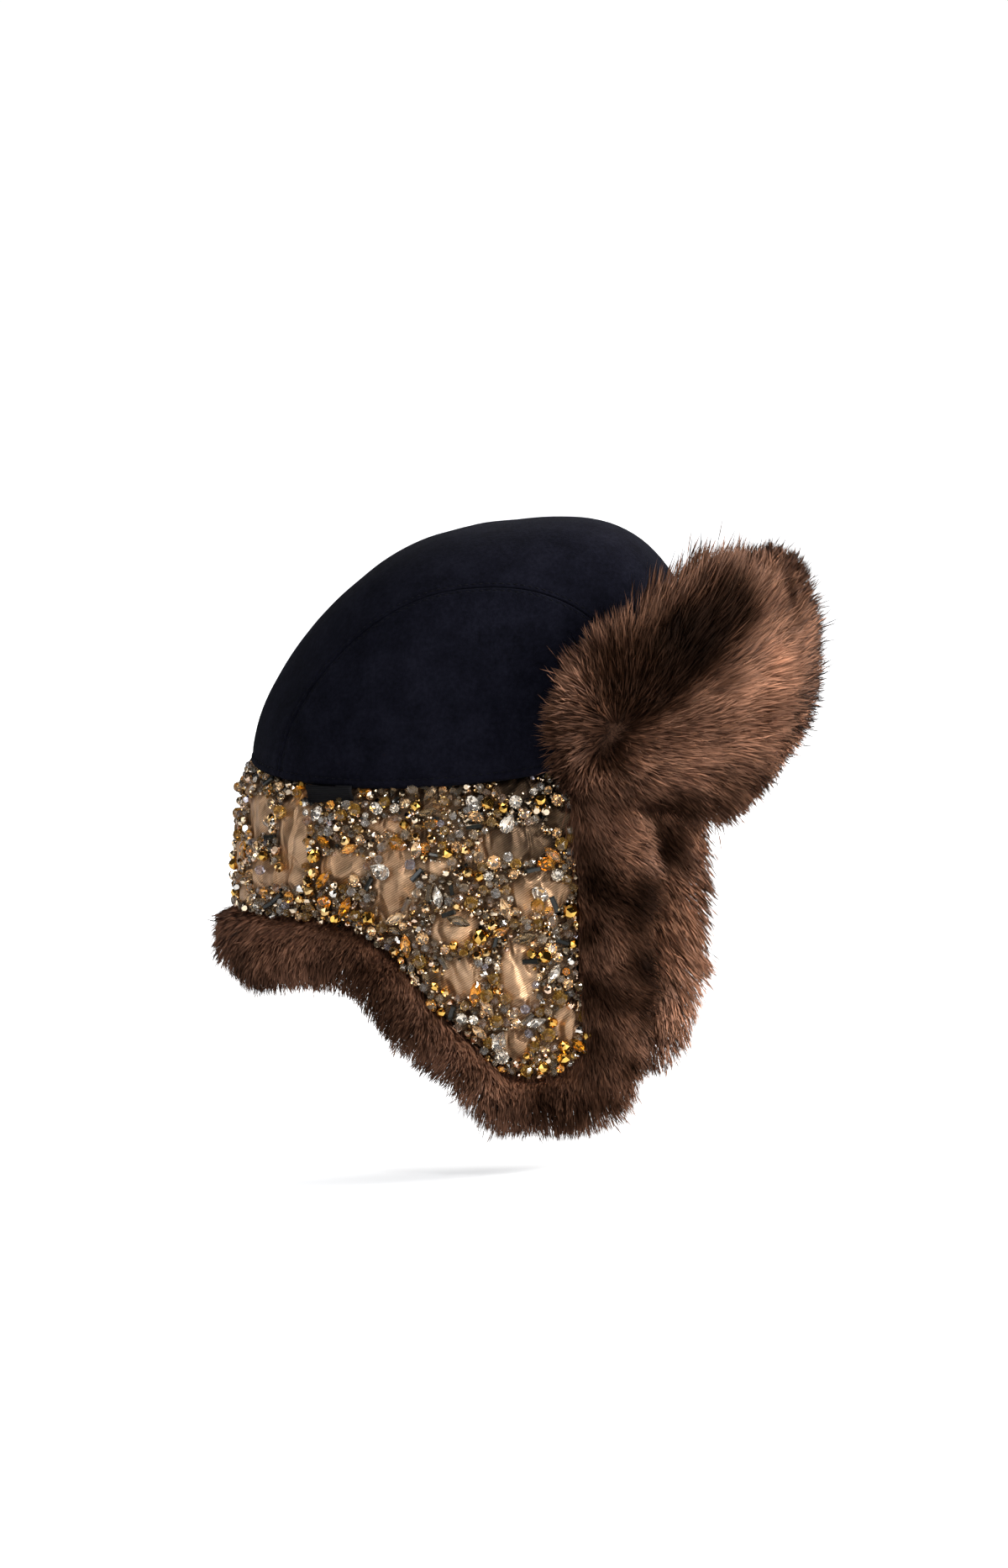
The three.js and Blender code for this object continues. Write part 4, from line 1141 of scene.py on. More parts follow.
def combed(p):
    """The way the visor's hair is combed at points p, and how near they are to the table's places."""
    right, up, _ = photo_axes()
    ways = COMB[:, 3:4] * right + COMB[:, 4:5] * up
    sign = np.where(p[:, :1] > 0, -1.0, 1.0)
    q = p * np.concatenate([sign, sign * 0 + 1, sign * 0 + 1], 1)
    d2 = ((q[:, None] - COMB[None, :, :3]) ** 2).sum(-1)
    w = 1 / (d2 + 22) ** 2
    v = (w[..., None] * ways[None]).sum(1) / w.sum(1)[:, None]
    v[:, 0] *= sign[:, 0]
    return unit(v), np.exp(-d2.min(1) / 34.0**2)[:, None]


def visor_hide(stations=132, around=46):
    side = np.linspace(-1, 1, stations)
    here, out, get = visor_frame(side)
    H, F, A, L = get["height"], get["fur"], get["above"], get["lean"]
    lip = here[:, 2] - HEM + get["lip"]
    z = 0 * H
    rim = [
        (L + 0.10 * F, H - 0.02 * A), (L + 0.22 * F, H + 0.08 * A), (L + 0.35 * F, H - 0.04 * A), (L + 0.42 * F, H * 0.80),
        (0.98 * L + 0.42 * F, 0.55 * H), (0.86 * L + 0.42 * F, 0.3 * H), (0.6 * L + 0.42 * F, 0.02 * H),
        (0.32 * L + 0.36 * F, -0.18 * lip), (0.14 * L + 0.25 * F, -0.36 * lip), (0.12 * F, -0.46 * lip), (-0.08 * F, -0.42 * lip),
        (-0.16 * F, -0.3 * lip), (-0.16 * F, -0.2 * lip), (-0.05 * F, z - 4.2),
    ]
    face = skin_line(get, SUEDE + 0.6)
    sec = np.concatenate([np.stack([np.stack([p, h], -1) for p, h in rim], 1), face], 1)
    sec = np.stack([closed_curve(s, around) for s in sec])
    shrink = np.sqrt(np.clip(1 - (np.clip(np.abs(side) - 0.93, 0, None) / 0.0705) ** 2, 0.03, 1))
    mid = sec.mean(1, keepdims=True)
    sec = mid + (sec - mid) * shrink[:, None, None]
    p = here[:, None, :] + out[:, None, :] * sec[..., :1] + np.array([0, 0, 1.0]) * sec[..., 1:]
    inner = p.mean(1, keepdims=True)
    n = loop_normals(p, inner, each=True)
    end = smooth(0.955, 1.0, np.abs(side))[:, None, None]
    tangent = unit(np.gradient(p.mean(1), axis=0))[:, None, :]  # to the left of the hat
    toward_end = tangent * np.where(side > 0, 1.0, -1.0)[:, None, None]
    n = unit(n * (1 - 0.8 * end) + toward_end * 0.9 * end)
    at = np.abs(side)
    fold_side = np.linspace(-0.87, 0.87, 121)
    fold_here, fold_out, fold_get = visor_frame(fold_side)
    fold = fold_here + fold_out * (6 + 0.16 * fold_get["fur"])[:, None] + np.array([0, 0, 1.0])
    flat = p.reshape(-1, 3)
    nearest = fold[np.linalg.norm(flat[:, None] - fold[None], axis=-1).argmin(1)].reshape(p.shape)
    forward = 0.62 * smooth(0.30, 0.58, at) * (1 - smooth(0.82, 0.93, at))
    flow = unit(unit(p - nearest) - toward_end * forward[:, None, None] + np.array([0, 0, 0.10]))
    way, near = combed(flat)
    flow = unit(mix(flow.reshape(-1, 3), way, near)).reshape(p.shape)
    # no hair on the face towards the suede and on the lip's back, which is inside the hat
    near_face = np.min(np.linalg.norm(sec[:, :, None, :] - face[:, None, :, :], axis=-1), axis=2) < 1.6
    bare = near_face & (sec[..., 1] < (H * 0.93)[:, None])
    density = np.where(bare, 0.0, 1.0)
    rise = sec[..., 1] / H[:, None]
    ats = [0, 0.2, 0.35, 0.5, 0.66, 0.85, 0.95, 1]
    low = np.interp(at, ats, [22, 23, 26, 31, 33, 23, 18, 16])[:, None]
    high = np.interp(at, ats, [20, 20, 23, 38, 47, 29, 20, 17])[:, None]
    high = high * np.where((side > 0) & (at > 0.3), 0.74, 1.0)[:, None]
    length = mix(low * mix(0.85, 1.0, smooth(-0.1, 0.3, rise)), high, smooth(0.40, 0.85, rise)) * np.ones(density.shape)
    # the lip's back lies on the forehead: short hair
    inside = (sec[..., 0] < 0.2 * F[:, None]) & (sec[..., 1] < -3)
    length = np.where(inside, 11.0, length)
    density = np.where(inside & (density > 0), 0.55, density)
    flow = unit(np.where(inside[..., None], flow * 0.4 + DOWN * 0.8, flow))
    return dict(p=p, n=n, flow=flow, length=length, density=density, lift=np.ones_like(density), side=side)


def capped(p):
    """Faces of a tube of closed sections, with a fan at each end."""
    rows, cols = p.shape[:2]
    faces = grid_quads(rows, cols, closed=True)
    points = np.concatenate([p.reshape(-1, 3), p[0].mean(0)[None], p[-1].mean(0)[None]])
    a = np.arange(cols)
    b = (a + 1) % cols
    first = np.stack([a, np.full(cols, rows * cols), b], -1)
    last = np.stack([a, b, np.full(cols, rows * cols + 1)], -1)
    last[:, :2] += (rows - 1) * cols
    mid = p.reshape(-1, 3)[faces[len(faces) // 2]]
    away = mid.mean(0) - p[len(p) // 2].mean(0)
    if np.cross(mid[1] - mid[0], mid[3] - mid[0]) @ away < 0:
        faces, first, last = faces[:, ::-1], first[:, ::-1], last[:, ::-1]
    return points, [faces, first, last]


# ---------------------------------------------------------------- hair
PATCH_COLUMNS = ("x", "y", "z", "radius", "tone")  # on the right; darker below 1, lighter above: partly the fur's own lighter and darker patches, partly painted shade in hollows and under the visor and painted light on the lit sides
PATCH_ROWS = [
    (-102, -78, -80, 11.7, 0.4), (-99, -86, -71, 14.3, 0.33), (-95, -95, -62, 15.6, 0.25), (-89, -105, -54, 15.6, 0.22),
    (-80, -114, -46, 14.3, 0.28), (-69, -122, -39, 11.7, 0.35), (-59, -127, -34, 8, 0.45), (-99, -75, -61, 10, 0.5),
    (-92, -65, -55, 9, 0.45), (-65, -108, -33, 7, 0.5), (-10, -144, -30, 6, 0.5), (-26, -147, -39, 7, 0.45),
    (-30, -147, -49, 6, 0.5), (-40, -72, -37, 9, 1.2), (-16, -83, -32, 9, 1.35), (-67, -109, -32, 8, 1.2),
    (-98, -51, -83, 10, 0.72), (-80, -42, -96, 10, 0.62), (-99, -67, -106, 7, 0.5), (-96, -80, -105, 8, 1.1),
    (-51, -140, -72, 12, 1.56), (-66, -129, -85, 12, 1.49), (-84, -111, -90, 12, 0.95), (-79, -105, -109, 10, 1.43),
    (-54, -125, -110, 10, 1.56), (-27, -116, -135, 7, 0.5), (-55, -106, -137, 8, 0.45), (-68, -92, -137, 7, 0.5),
    (-76, -84, -132, 7, 0.6), (-88, -56, -134, 8, 1.2), (-86, -64, -145, 9, 1.2), (-87, -46, -153, 8, 0.6),
    (-91, -50, -165, 8, 0.34), (-91, -58, -174, 8, 0.45), (-91, -60, -188, 8, 1.25), (-92, -46, -188, 7, 0.36),
    (-94, -49, -200, 7, 1), (-92, -58, -207, 8, 1.2), (-92, -43, -214, 8, 0.34), (-93, -54, -221, 7, 0.5),
    (-92, -46, -230, 8, 1.1), (-89, -58, -234, 8, 1.15), (-91, -42, -242, 7, 0.5), (-92, -50, -248, 8, 1.05),
    (-96, -36, -257, 8, 0.8), (-81, -70, -170, 7, 0.4), (68, -39, -240, 7, 0.45), (68, -38, -257, 7, 0.45),
    (-85, -57, -254, 7, 0.4), (-90, -44, -268, 8, 0.4), (-92, -30, -273, 8, 0.4), (-67, -83, -143, 9, 0.55),
    (63, -57, -169, 10, 0.36), (-52, -94, -152, 9, 1.1), (68, -64, -192, 8, 1.3), (69, -51, -254, 9, 1.15),
    (-103, 3, -261, 9, 1), (-97, -12, -257, 8, 1.1), (-98, -15, -269, 8, 0.5), (-104, 18, -249, 8, 0.6),
    (-105, 28, -234, 9, 1.1), (-65, 124, -177, 9, 1.15), (-83, 95, -177, 9, 1), (-97, 77, -188, 8, 0.75),
    (-54, 136, -192, 8, 0.6), (-72, -100, -30, 8, 1.2), (-8, -150, -88, 15, 1.65), (14, -148, -70, 14, 1.45),
    (22, -140, -108, 15, 1.65), (-30, -146, -92, 12, 1.55), (-20, -135, -122, 12, 1.69), (30, -140, -45, 12, 1.35),
    (-45, -133, -100, 12, 1.48), (-72, -100, -30, 8, 1.15), (-86, -38, -110, 10, 0.66), (-88, -36, -95, 9, 0.62),
    (-70, -36, -75, 9, 0.8), (-102, -70, -93, 8, 0.42), (-102, -64, -98, 8, 0.36), (-100, -57, -104, 7, 0.45),
    (-101, 62, -207, 10, 0.66), (-103, 51, -219, 10, 0.66), (-105, 40, -228, 10, 0.7), (-100, 69, -196, 9, 0.66),
    (-90, 82, -199, 9, 0.8), (-52, 139, -180, 11, 1.5), (-76, 113, -178, 11, 1.5), (-87, 100, -188, 11, 1.45),
    (-68, 125, -191, 10, 1.4), (-28, 148, -194, 10, 1.4), (-82, -71, -180, 10, 0.25), (-80, -69, -206, 10, 0.25), (-82, -66, -228, 9, 0.28),
    (-83, -88, -120, 10, 1.3), (-73, -103, -120, 10, 1.3), (71, -59, -221, 11, 1.25), (72, -64, -209, 10, 1.2),
    (70, -56, -233, 10, 1.2), (-73, -74, -142, 8, 0.55), (-80, -70, -136, 8, 1.1), (-81, -42, -104, 8, 0.8),
]
PATCHES = np.array(PATCH_ROWS, float)


def fur_tone(p):
    """How light the fur is at points p: broad and small patches of its own colour, then the places of the table (the
    visor's on both sides), which hold painted shade and painted light as well as the fur's own patches.
    """
    _, _, back = photo_axes()
    tone = 1.02 + (noise(p, 21, 31) - 0.5) * 0.70 + (noise(p, 8.5, 32) - 0.5) * 0.42
    twin = p * [1, 1, 1]
    twin[:, 0] = -np.abs(p[:, 0])
    level, weight = np.zeros(len(p)), np.zeros(len(p))
    wander = np.stack([noise(p, 12, 41 + k) - 0.5 for k in range(3)], -1) * 9
    for x, y, z, radius, light in PATCH_ROWS:
        d = (p if x > 35 or z < -140 else twin) - [x, y, z] + wander
        k = np.exp(-((d * d).sum(1) - 0.85 * (d @ back) ** 2) / radius**2)
        level += k * math.log(light)
        weight += k
    return tone * np.exp(1.9 * level / np.maximum(1, weight))


def sampled(core, count, rng, where):
    """Roots picked over the hide by area and density, with everything interpolated there."""
    p = core["p"]
    rows, cols = p.shape[:2]
    nxt = np.roll(p, -1, 1)
    area = np.linalg.norm(np.cross(p[1:] - p[:-1], nxt[:-1] - p[:-1]), axis=-1)
    weight = (area * core["density"][:-1] * where[:-1]).ravel()
    cell = rng.choice(len(weight), count, p=weight / weight.sum())
    i, j = cell // cols, cell % cols
    u, v = rng.uniform(size=count), rng.uniform(size=count)
    j2 = (j + 1) % cols

    def at(g):
        if g.ndim == 3:
            uu, vv = u[:, None], v[:, None]
        else:
            uu, vv = u, v
        return (g[i, j] * (1 - uu) + g[i + 1, j] * uu) * (1 - vv) + (g[i, j2] * (1 - uu) + g[i + 1, j2] * uu) * vv

    return at(p), unit(at(core["n"])), unit(at(core["flow"])), at(core["length"]), at(core["lift"])[:, None]


def grow(name, core, count, seed, fur, where, width=0.34, steps=7, every=34, lift=(0.55, 0.22), droop=0.28, clump=(0.15, 0.66), curl=1.0, mirror=False, spread=0.13, field=None, tint=1.0, front_light=1, sky=(0, 0, 0)):
    rng = np.random.default_rng(seed)
    p, n, flow, length, raised = sampled(core, count, rng, where)
    p = p - n * 0.4
    wave = np.stack([noise(p, 14, seed + k) - 0.5 for k in (1, 2, 3)], -1)
    fine = np.stack([noise(p, 5.5, seed + k) - 0.5 for k in (4, 5, 6)], -1)
    loose = rng.normal(size=(count, 3))
    into = (flow * n).sum(-1, keepdims=True)
    flow = unit(flow - n * into * (1 - smooth(0.25, 0.95, into)))
    flow = unit(flow + wave * 0.42 + fine * 0.16)
    length = length * np.clip(rng.normal(1.0, 0.13, count), 0.6, 1.35) * (0.86 + 0.28 * noise(p, 9, seed + 7))
    d0 = unit(flow + n * lift[0] * raised + loose * spread * 0.8)
    if field:
        way, near = field(p + d0 * length[:, None] * 0.75)
        bend = unit(mix(flow, way, 0.85 * near))
    else:
        bend = flow
    d1 = unit(bend + n * lift[1] * raised + DOWN * droop + wave * 0.6 + loose[:, ::-1] * spread)
    stray = rng.uniform(size=count) < 0.05
    length = np.where(stray, length * 1.12, length)
    t = np.linspace(0, 1, steps)[None, :, None]
    line = p[:, None] + length[:, None, None] * (d0[:, None] * (t - t * t / 2) + d1[:, None] * (t * t / 2))
    side = unit(np.cross(d0, n + loose * 0.05))
    up = np.cross(side, d0)
    size = curl * np.abs(rng.normal(0.75, 0.45, (count, 1, 1))) * np.where(stray, 1.9, 1.0)[:, None, None]
    turns, phase = rng.uniform(0.7, 1.7, (count, 1, 1)), rng.uniform(0, 6.283, (count, 1, 1))
    line = line + (side[:, None] * (np.sin(6.283 * turns * t + phase) - np.sin(phase)) + 0.7 * up[:, None] * (np.cos(6.283 * turns * t + phase) - np.cos(phase))) * size * t
    # locks: each hair bends to the nearest of some guide hairs, in two sizes
    for part, power, (low, high) in ((every, 1.5, clump), (every // 5, 1.2, (clump[0] * 0.5, clump[1] * 0.6))):
        guides = rng.choice(count, max(8, count // max(2, part)), replace=False)
        tree = KDTree(len(guides))
        for k, g in enumerate(guides):
            tree.insert(p[g], k)
        tree.balance()
        nearest = guides[np.fromiter((tree.find(q)[1] for q in p), np.int64, count)]
        pull = rng.uniform(low, high, count) * np.where(stray, 0.25, 1.0)
        target = line[nearest] + (p - p[nearest])[:, None, :] * 0.10
        line = line + (target - line) * (pull[:, None, None] * t**power)
    for _ in range(8):  # no kinks: a bend wider than the hair shows as a flake
        middle = (line[:, :-2] + line[:, 2:]) / 2
        off = line[:, 1:-1] - middle
        line[:, 1:-1] = middle + off * np.minimum(1, 0.5 / np.maximum(1e-6, np.linalg.norm(off, axis=-1, keepdims=True)))
    deepest = line[:, :, 2].min(1)
    k = np.where(deepest < -286, np.clip((p[:, 2] + 286) / np.maximum(0.1, p[:, 2] - deepest), 0.3, 1), 1.0)[:, None, None]
    line = p[:, None] + (line - p[:, None]) * k
    along = unit(np.gradient(line, axis=1))
    broad = unit(np.cross(along, n[:, None] + loose[:, None] * 0.15))
    roll = rng.normal(0, 0.55, count)
    roll = np.where(rng.uniform(size=count) < 0.25, rng.uniform(-1.6, 1.6, count), roll)[:, None, None]
    broad = broad * np.cos(roll) + np.cross(along, broad) * np.sin(roll)
    face = np.cross(broad, along)
    face = face * np.where((face * n[:, None]).sum(-1, keepdims=True) < 0, -1, 1)
    thick = width * np.clip(rng.normal(1, 0.22, count), 0.5, 1.6)[:, None, None]
    taper = (0.75 + 0.35 * t) * (1 - t**2.2) + 0.10 * (1 - t)
    zigzag = np.where(np.arange(steps) % 2 == 0, 1.0, -1.0)[None, :, None]
    v = line + broad * zigzag * thick * taper * 0.5
    v[:, -1] = line[:, -1]
    flat = n[:, None] - along * (along * n[:, None]).sum(-1, keepdims=True)
    lay = unit(unit(flat) * 0.90 + face * 0.15 + loose[:, None] * 0.04 + np.array(sky, float))
    index = np.arange(count * steps).reshape(count, steps)
    tris = []
    for k in range(steps - 2):
        a, b, c = index[:, k], index[:, k + 1], index[:, k + 2]
        tris.append(np.stack([a, b, c] if k % 2 == 0 else [b, a, c], -1))
    tris = np.concatenate(tris)
    tone = fur_tone(line.reshape(-1, 3) * ([-1, 1, 1] if mirror else [1, 1, 1])).reshape(count, steps) * tint
    if front_light != 1:  # the flap's front edge, paler than the rest: partly its own paler fur, partly painted light
        tone = tone * mix(1.0, front_light, smooth(-28, -50, line[:, :, 1]))
    tone = tone * np.clip(rng.normal(1, 0.09, count), 0.7, 1.35)[:, None]
    colors = np.empty((count, steps, 3))
    colors[..., 0] = t[..., 0]
    colors[..., 1] = tone * 0.5
    colors[..., 2] = (noise(line[:, -1], 7.0, seed + 9) * 0.72 + rng.uniform(size=count) * 0.28)[:, None]
    if mirror:
        v = v * [-1, 1, 1]
        lay = lay * [-1, 1, 1]
        tris = tris[:, ::-1]
    ob = piece(name, v.reshape(-1, 3), tris, fur, colors=colors.reshape(-1, 3))
    layer = ob.data.attributes.new("lay", "FLOAT_VECTOR", "POINT")
    layer.data.foreach_set("vector", lay.reshape(-1, 3).astype(np.float32).ravel())
    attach(ob, "root")
    return ob


def fur_material():
    m, t, s = material("brown fur")
    strand = node(t, "ShaderNodeAttribute", attribute_name="strand", attribute_type="GEOMETRY").outputs["Color"]
    part = node(t, "ShaderNodeSeparateColor", {0: strand})
    # darker towards the root: partly the fur's own darker base, partly painted shade in the fur's depth
    body = ramp(t, part.outputs[0], [
        (0.00, (0.060, 0.025, 0.0140)), (0.25, (0.115, 0.049, 0.0265)), (0.55, (0.185, 0.081, 0.044)), (0.82, (0.245, 0.114, 0.066)), (1.0, (0.265, 0.132, 0.080))])
    tip = ramp(t, part.outputs[2], [(0.26, (0.42, 0.36, 0.34)), (0.42, (0.80, 0.77, 0.75)), (0.58, (1.0, 1.0, 1.0)), (0.85, (1.12, 1.10, 1.07))])
    where = ramp(t, part.outputs[0], [(0.55, (0, 0, 0)), (0.95, (1, 1, 1))])
    tipped = node(t, "ShaderNodeMix", {"Factor": where, 6: (1, 1, 1, 1), 7: tip}, data_type="RGBA")
    color = node(t, "ShaderNodeMix", {"Factor": 1.0, 6: body, 7: tipped.outputs[2]}, data_type="RGBA", blend_type="MULTIPLY")
    # the gain carries the fur's tone together with its painted shade and painted light
    gain = node(t, "ShaderNodeMath", {0: part.outputs[1], 1: 2.0}, operation="MULTIPLY")
    toned = node(t, "ShaderNodeVectorMath", {0: color.outputs[2], "Scale": gain.outputs[0]}, operation="SCALE")
    t.links.new(toned.outputs[0], s.inputs["Base Color"])
    lay = node(t, "ShaderNodeAttribute", attribute_name="lay", attribute_type="GEOMETRY").outputs["Vector"]
    t.links.new(lay, s.inputs["Normal"])
    shine = node(t, "ShaderNodeMapRange", {"Value": gain.outputs[0], "From Min": 0.25, "From Max": 1.2, "To Min": 0.01, "To Max": 0.16})
    t.links.new(shine.outputs[0], s.inputs["Specular IOR Level"])
    set_shader(s, Roughness=0.5)
    return m


def hide_material():
    m, t, s = material("fur under the hair")
    where = node(t, "ShaderNodeNewGeometry").outputs["Position"]
    fine = node(t, "ShaderNodeTexNoise", {"Vector": where, "Scale": 900.0, "Detail": 4.0, "Roughness": 0.7})
    # painted shade: the hide is coloured much darker than the hair, as the shaded depth of the fur between the hairs
    color = ramp(t, fine.outputs["Fac"], [(0.35, (0.018, 0.009, 0.006)), (0.65, (0.062, 0.030, 0.018))])
    t.links.new(color, s.inputs["Base Color"])
    set_shader(s, Roughness=0.95, Specular_IOR_Level=0.05)
    bump = node(t, "ShaderNodeBump", {"Strength": 0.8, "Distance": 0.0015, "Height": fine.outputs["Fac"]})
    t.links.new(bump.outputs[0], s.inputs["Normal"])
    return m


def all_fur(fur, hide):
    made = []
    flap = flap_hide()
    front = smooth(0.64, 0.74, np.linspace(0, 1, len(flap["p"])))
    points, faces = capped(flap["p"])
    for side in ("right", "left"):
        q, f = (points, faces) if side == "right" else mirrored(points, faces)
        ob = piece(f"flap_hide_{side}", q, f, hide)
        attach(ob, "root")
        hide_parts(f"fur_flap_{side}")
        made.append(ob)
        trims, lining = 33000 if side == "right" else 26000, 11000
        if side == "left":  # the far front edge is the fuller one
            flap = dict(flap, length=flap["length"] * (1 + 0.30 * front[:, None]))
        flip = side == "left"
        seed = 101 if side == "right" else 211
        # painted light: the far (left) flap's fur, edge and lining get higher tints than the near flap's, partly for
        # its paler fur
        made.append(grow(f"flap_fur_{side}", flap, trims, seed, fur, (~flap["lining"]).astype(float), mirror=flip, every=30, droop=0.32, clump=(0.06, 0.40), width=0.31, tint=0.83 if side == "right" else 1.0, front_light=1 if side == "right" else 1.6, sky=(0, 0, 0) if side == "right" else (0, -0.45, 0.15)))
        made.append(grow(f"flap_edge_{side}", dict(flap, density=flap["rim"], lift=flap["rim"] * 0 + 1), 6500 if side == "right" else 4000, seed + 80, fur, flap["rim"], mirror=flip, every=24, lift=(0.62, 0.30), droop=0.30, clump=(0.06, 0.35), spread=0.30, width=0.34, tint=0.80 if side == "right" else 0.92, front_light=1 if side == "right" else 1.5, steps=6))
        made.append(grow(f"flap_lining_{side}", flap, lining, seed + 40, fur, flap["lining"].astype(float), mirror=flip, width=0.5, steps=5, every=22, lift=(0.65, 0.30), droop=0.3, clump=(0.2, 0.6), tint=0.8 if side == "right" else 1.4))
    visor = visor_hide()
    points, faces = capped(visor["p"])
    ob = piece("visor_hide", points, faces, hide)
    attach(ob, "root")
    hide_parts("visor_fur")
    made.append(ob)
    half = (visor["side"] < 0)[:, None]
    for side, mask, count in (("right", half, 38500), ("left", ~half, 25000)):
        where = np.broadcast_to(mask, visor["p"].shape[:2]).astype(float)
        made.append(grow(f"visor_hair_{side}", visor, count, 307 if side == "right" else 401, fur, where, every=60, lift=(0.50, 0.20), droop=0.08, clump=(0.10, 0.50), curl=1.9, spread=0.13, width=0.34, field=combed, sky=(0, -0.34, 0.34), tint=0.9))
    return made


def visor_suede(suede):
    side = np.linspace(-0.985, 0.985, 90)
    here, out, get = visor_frame(side)
    line = skin_line(get, 0.0)
    dense = []
    for s in line:
        along = arc(s)
        at = np.linspace(0, along[-1], 16)
        dense.append(np.stack([np.interp(at, along, s[:, j]) for j in range(2)], -1))
    sec = np.array(dense)
    p = here[:, None, :] + out[:, None, :] * sec[..., :1] + np.array([0, 0, 1.0]) * sec[..., 1:]
    n = grid_normals(p, -np.broadcast_to(out[:, None, :], p.shape))
    p = p + n * ((noise(p, 24, 61) - 0.5) * 0.9)[..., None]
    points, faces = shell(p, n, SUEDE - 0.2)
    ob = piece("visor_suede", points, faces, suede)
    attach(ob, "root")
    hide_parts("visor_skin")
    return ob


# ---------------------------------------------------------------- the room
def camera():
    from mathutils import Matrix
    right, up, back = photo_axes()
    data = bpy.data.cameras.new("photo")
    data.lens = 142.9
    data.sensor_width = 36
    data.sensor_fit = "AUTO"
    data.clip_end = 100
    ob = bpy.data.objects.new("photo", data)
    bpy.context.scene.collection.objects.link(ob)
    at = AIM + DISTANCE * back + right * 0.00672 + up * -0.0236
    ob.matrix_world = Matrix([[right[i], up[i], back[i], at[i]] for i in range(3)] + [[0, 0, 0, 1]])
    bpy.context.scene.camera = ob


def area_light(name, at, aim, size, power, color=(1, 1, 1), spread=None):
    data = bpy.data.lights.new(name, "AREA")
    data.shape = "DISK"
    data.size = size
    data.energy = power
    data.color = color
    if spread:
        data.spread = spread
    ob = bpy.data.objects.new(name, data)
    ob.location = Vector(at)
    ob.rotation_euler = (Vector(aim) - Vector(at)).to_track_quat("-Z", "Y").to_euler()
    bpy.context.scene.collection.objects.link(ob)
    return ob


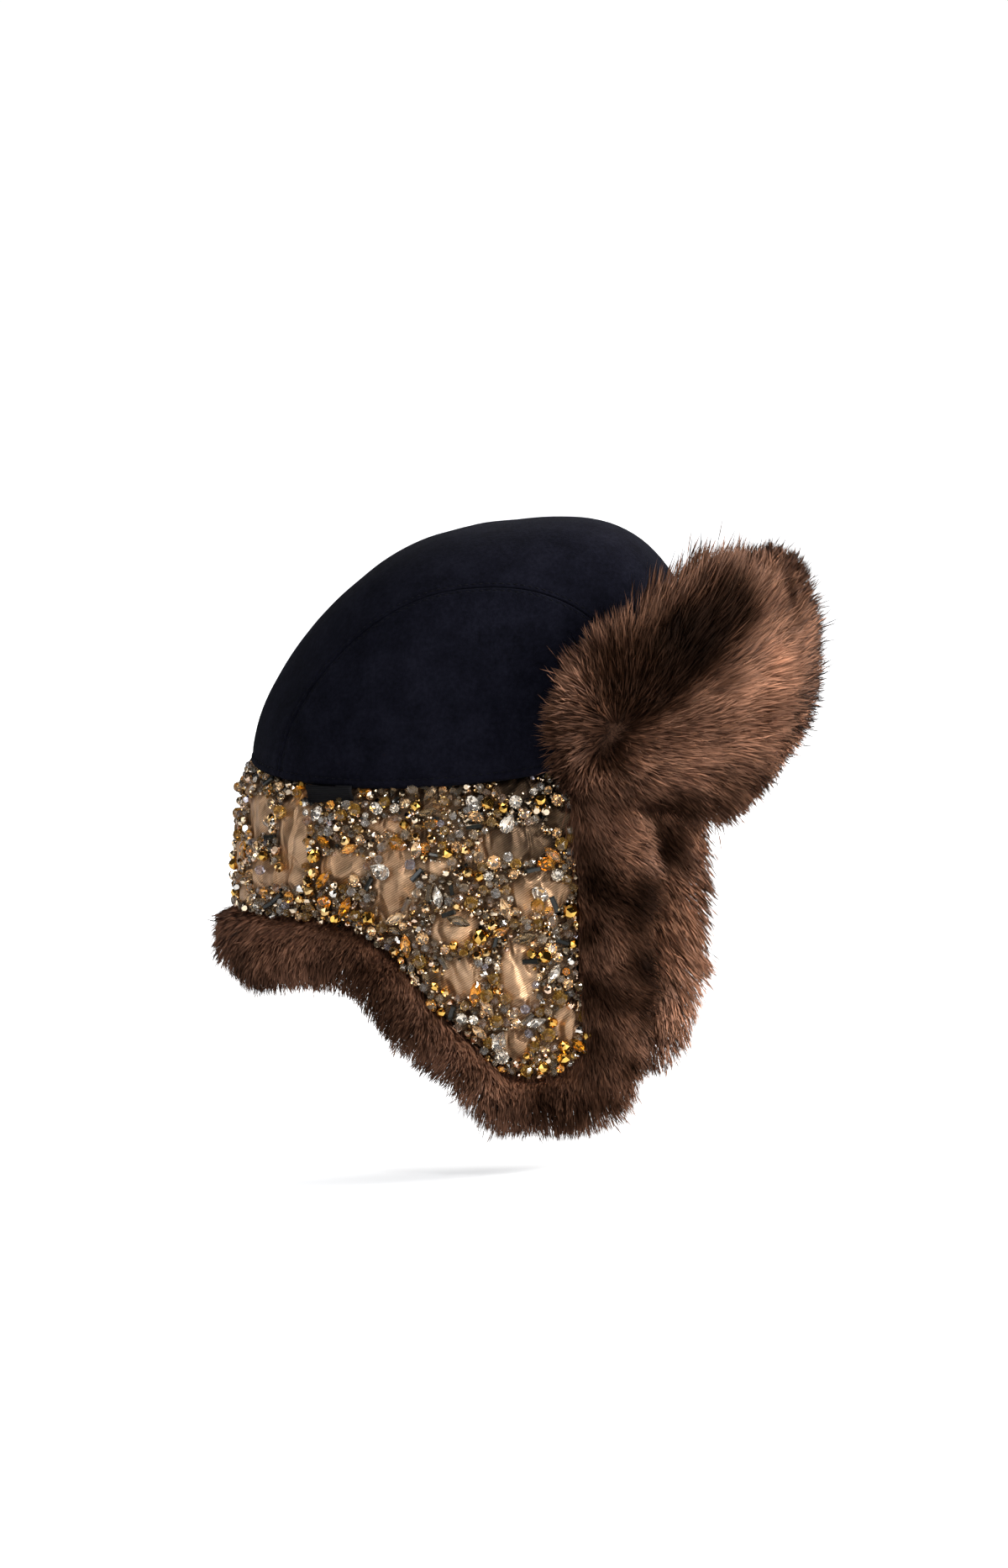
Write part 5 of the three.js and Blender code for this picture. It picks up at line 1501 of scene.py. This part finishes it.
def room():
    right, up, back = photo_axes()
    center = np.array([0.0, 0.0, -0.13])
    z = np.array([0, 0, 1.0])
    area_light("key", center + right * 2.15 + z * 1.05 + back * 0.95, center, 0.95, 96, (1.0, 0.985, 0.96))
    area_light("fill", center - right * 1.6 + z * 0.9 + back * 1.6, center, 1.2, 10, (0.92, 0.96, 1.0))
    area_light("spark", center + right * 0.5 + z * 1.5 + back * 1.7, center, 0.16, 10)
    area_light("far key", center - back * 2.0 + z * 1.6 + right * 0.8, center, 1.2, 22)

    points = np.array([[-20000, -20000, -300], [20000, -20000, -300], [20000, 20000, -300], [-20000, 20000, -300]], float)
    m, t, s = material("white table")
    set_shader(s, Roughness=0.9, Specular_IOR_Level=0.1)
    s.inputs["Base Color"].default_value = (0.86, 0.86, 0.865, 1)
    s.inputs["Emission Color"].default_value = (1, 1, 1, 1)
    path = t.nodes.new("ShaderNodeLightPath")
    where = node(t, "ShaderNodeNewGeometry").outputs["Position"]
    far = node(t, "ShaderNodeVectorMath", {0: where}, operation="LENGTH")
    # painted light: the floor glows for the camera only, from 0.58 near the hat to full away from it, so it reads white
    # and its shadow fades out
    glow = node(t, "ShaderNodeMapRange", {"Value": far.outputs["Value"], "From Min": 0.31, "From Max": 0.62, "To Min": 0.58, "To Max": 1.0})
    seen = node(t, "ShaderNodeMath", {0: glow.outputs[0], 1: path.outputs["Is Camera Ray"]}, operation="MULTIPLY")
    t.links.new(seen.outputs[0], s.inputs["Emission Strength"])
    floor = piece("table", points, np.array([[0, 1, 2, 3]]), m, flat=True)
    floor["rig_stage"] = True

    world = bpy.data.worlds.new("white room")
    bpy.context.scene.world = world
    world.use_nodes = True
    world.cycles.sampling_method = "NONE"
    t = world.node_tree
    t.nodes.clear()
    out = t.nodes.new("ShaderNodeOutputWorld")
    path = t.nodes.new("ShaderNodeLightPath")
    where = node(t, "ShaderNodeTexCoord").outputs["Generated"]
    panels = node(t, "ShaderNodeTexVoronoi", {"Vector": where, "Scale": 4.2, "Randomness": 0.9}, feature="F1")
    pick = node(t, "ShaderNodeSeparateColor", {0: panels.outputs["Color"]})
    studio = ramp(t, pick.outputs[0], [(0.0, (0.012, 0.010, 0.009)), (0.50, (0.09, 0.08, 0.07)), (0.68, (0.45, 0.43, 0.40)), (0.88, (5.2, 5.0, 4.7))], "CONSTANT")
    even = node(t, "ShaderNodeBackground", {"Color": (0.34, 0.345, 0.36, 1), "Strength": 1.0})
    right, up, back = photo_axes()
    lean = unit(right * 1.0 + np.array([0, 0, 1.0]) * 0.9 + back * 0.55)
    facing = node(t, "ShaderNodeVectorMath", {0: where, 1: Vector(lean)}, operation="DOT_PRODUCT")
    sided = node(t, "ShaderNodeMapRange", {"Value": facing.outputs["Value"], "From Min": -0.3, "From Max": 0.9, "To Min": 0.30, "To Max": 1.5})
    sharp = node(t, "ShaderNodeBackground", {"Color": studio, "Strength": sided.outputs[0]})
    seen = node(t, "ShaderNodeBackground", {"Color": (1, 1, 1, 1), "Strength": 1.02})
    crisp = node(t, "ShaderNodeMath", {0: path.outputs["Is Glossy Ray"], 1: path.outputs["Is Transmission Ray"]}, operation="MAXIMUM")
    a = node(t, "ShaderNodeMixShader", {0: crisp.outputs[0], 1: even.outputs[0], 2: sharp.outputs[0]})
    b = node(t, "ShaderNodeMixShader", {0: path.outputs["Is Camera Ray"], 1: a.outputs[0], 2: seen.outputs[0]})
    t.links.new(b.outputs[0], out.inputs[0])
    bpy.context.scene.view_settings.view_transform = "Standard"
    bpy.context.scene.view_settings.look = "None"


# ---------------------------------------------------------------- all of it
felt = felt_material()
crown_panels(felt)
crown_stitches(thread_material())
satin_bands(satin_material())
label_tab(label_material())
visor_suede(suede_material())
glass = stone_materials()
crystals("right", 5, glass)
crystals("left", 23, glass)
all_fur(fur_material(), hide_material())
camera()
room()

total = 0
for ob in bpy.context.scene.objects:
    if ob.type == "MESH" and "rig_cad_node" not in ob and not ob.get("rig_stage"):
        tris = int(sum(len(q.vertices) - 2 for q in ob.data.polygons)) if len(ob.data.polygons) < 40000 else int(len(ob.data.loops) - 2 * len(ob.data.polygons))
        total += tris
        print(f"{ob.name}: {tris} triangles")
print("triangles in all:", total)

bpy.context.view_layer.update()
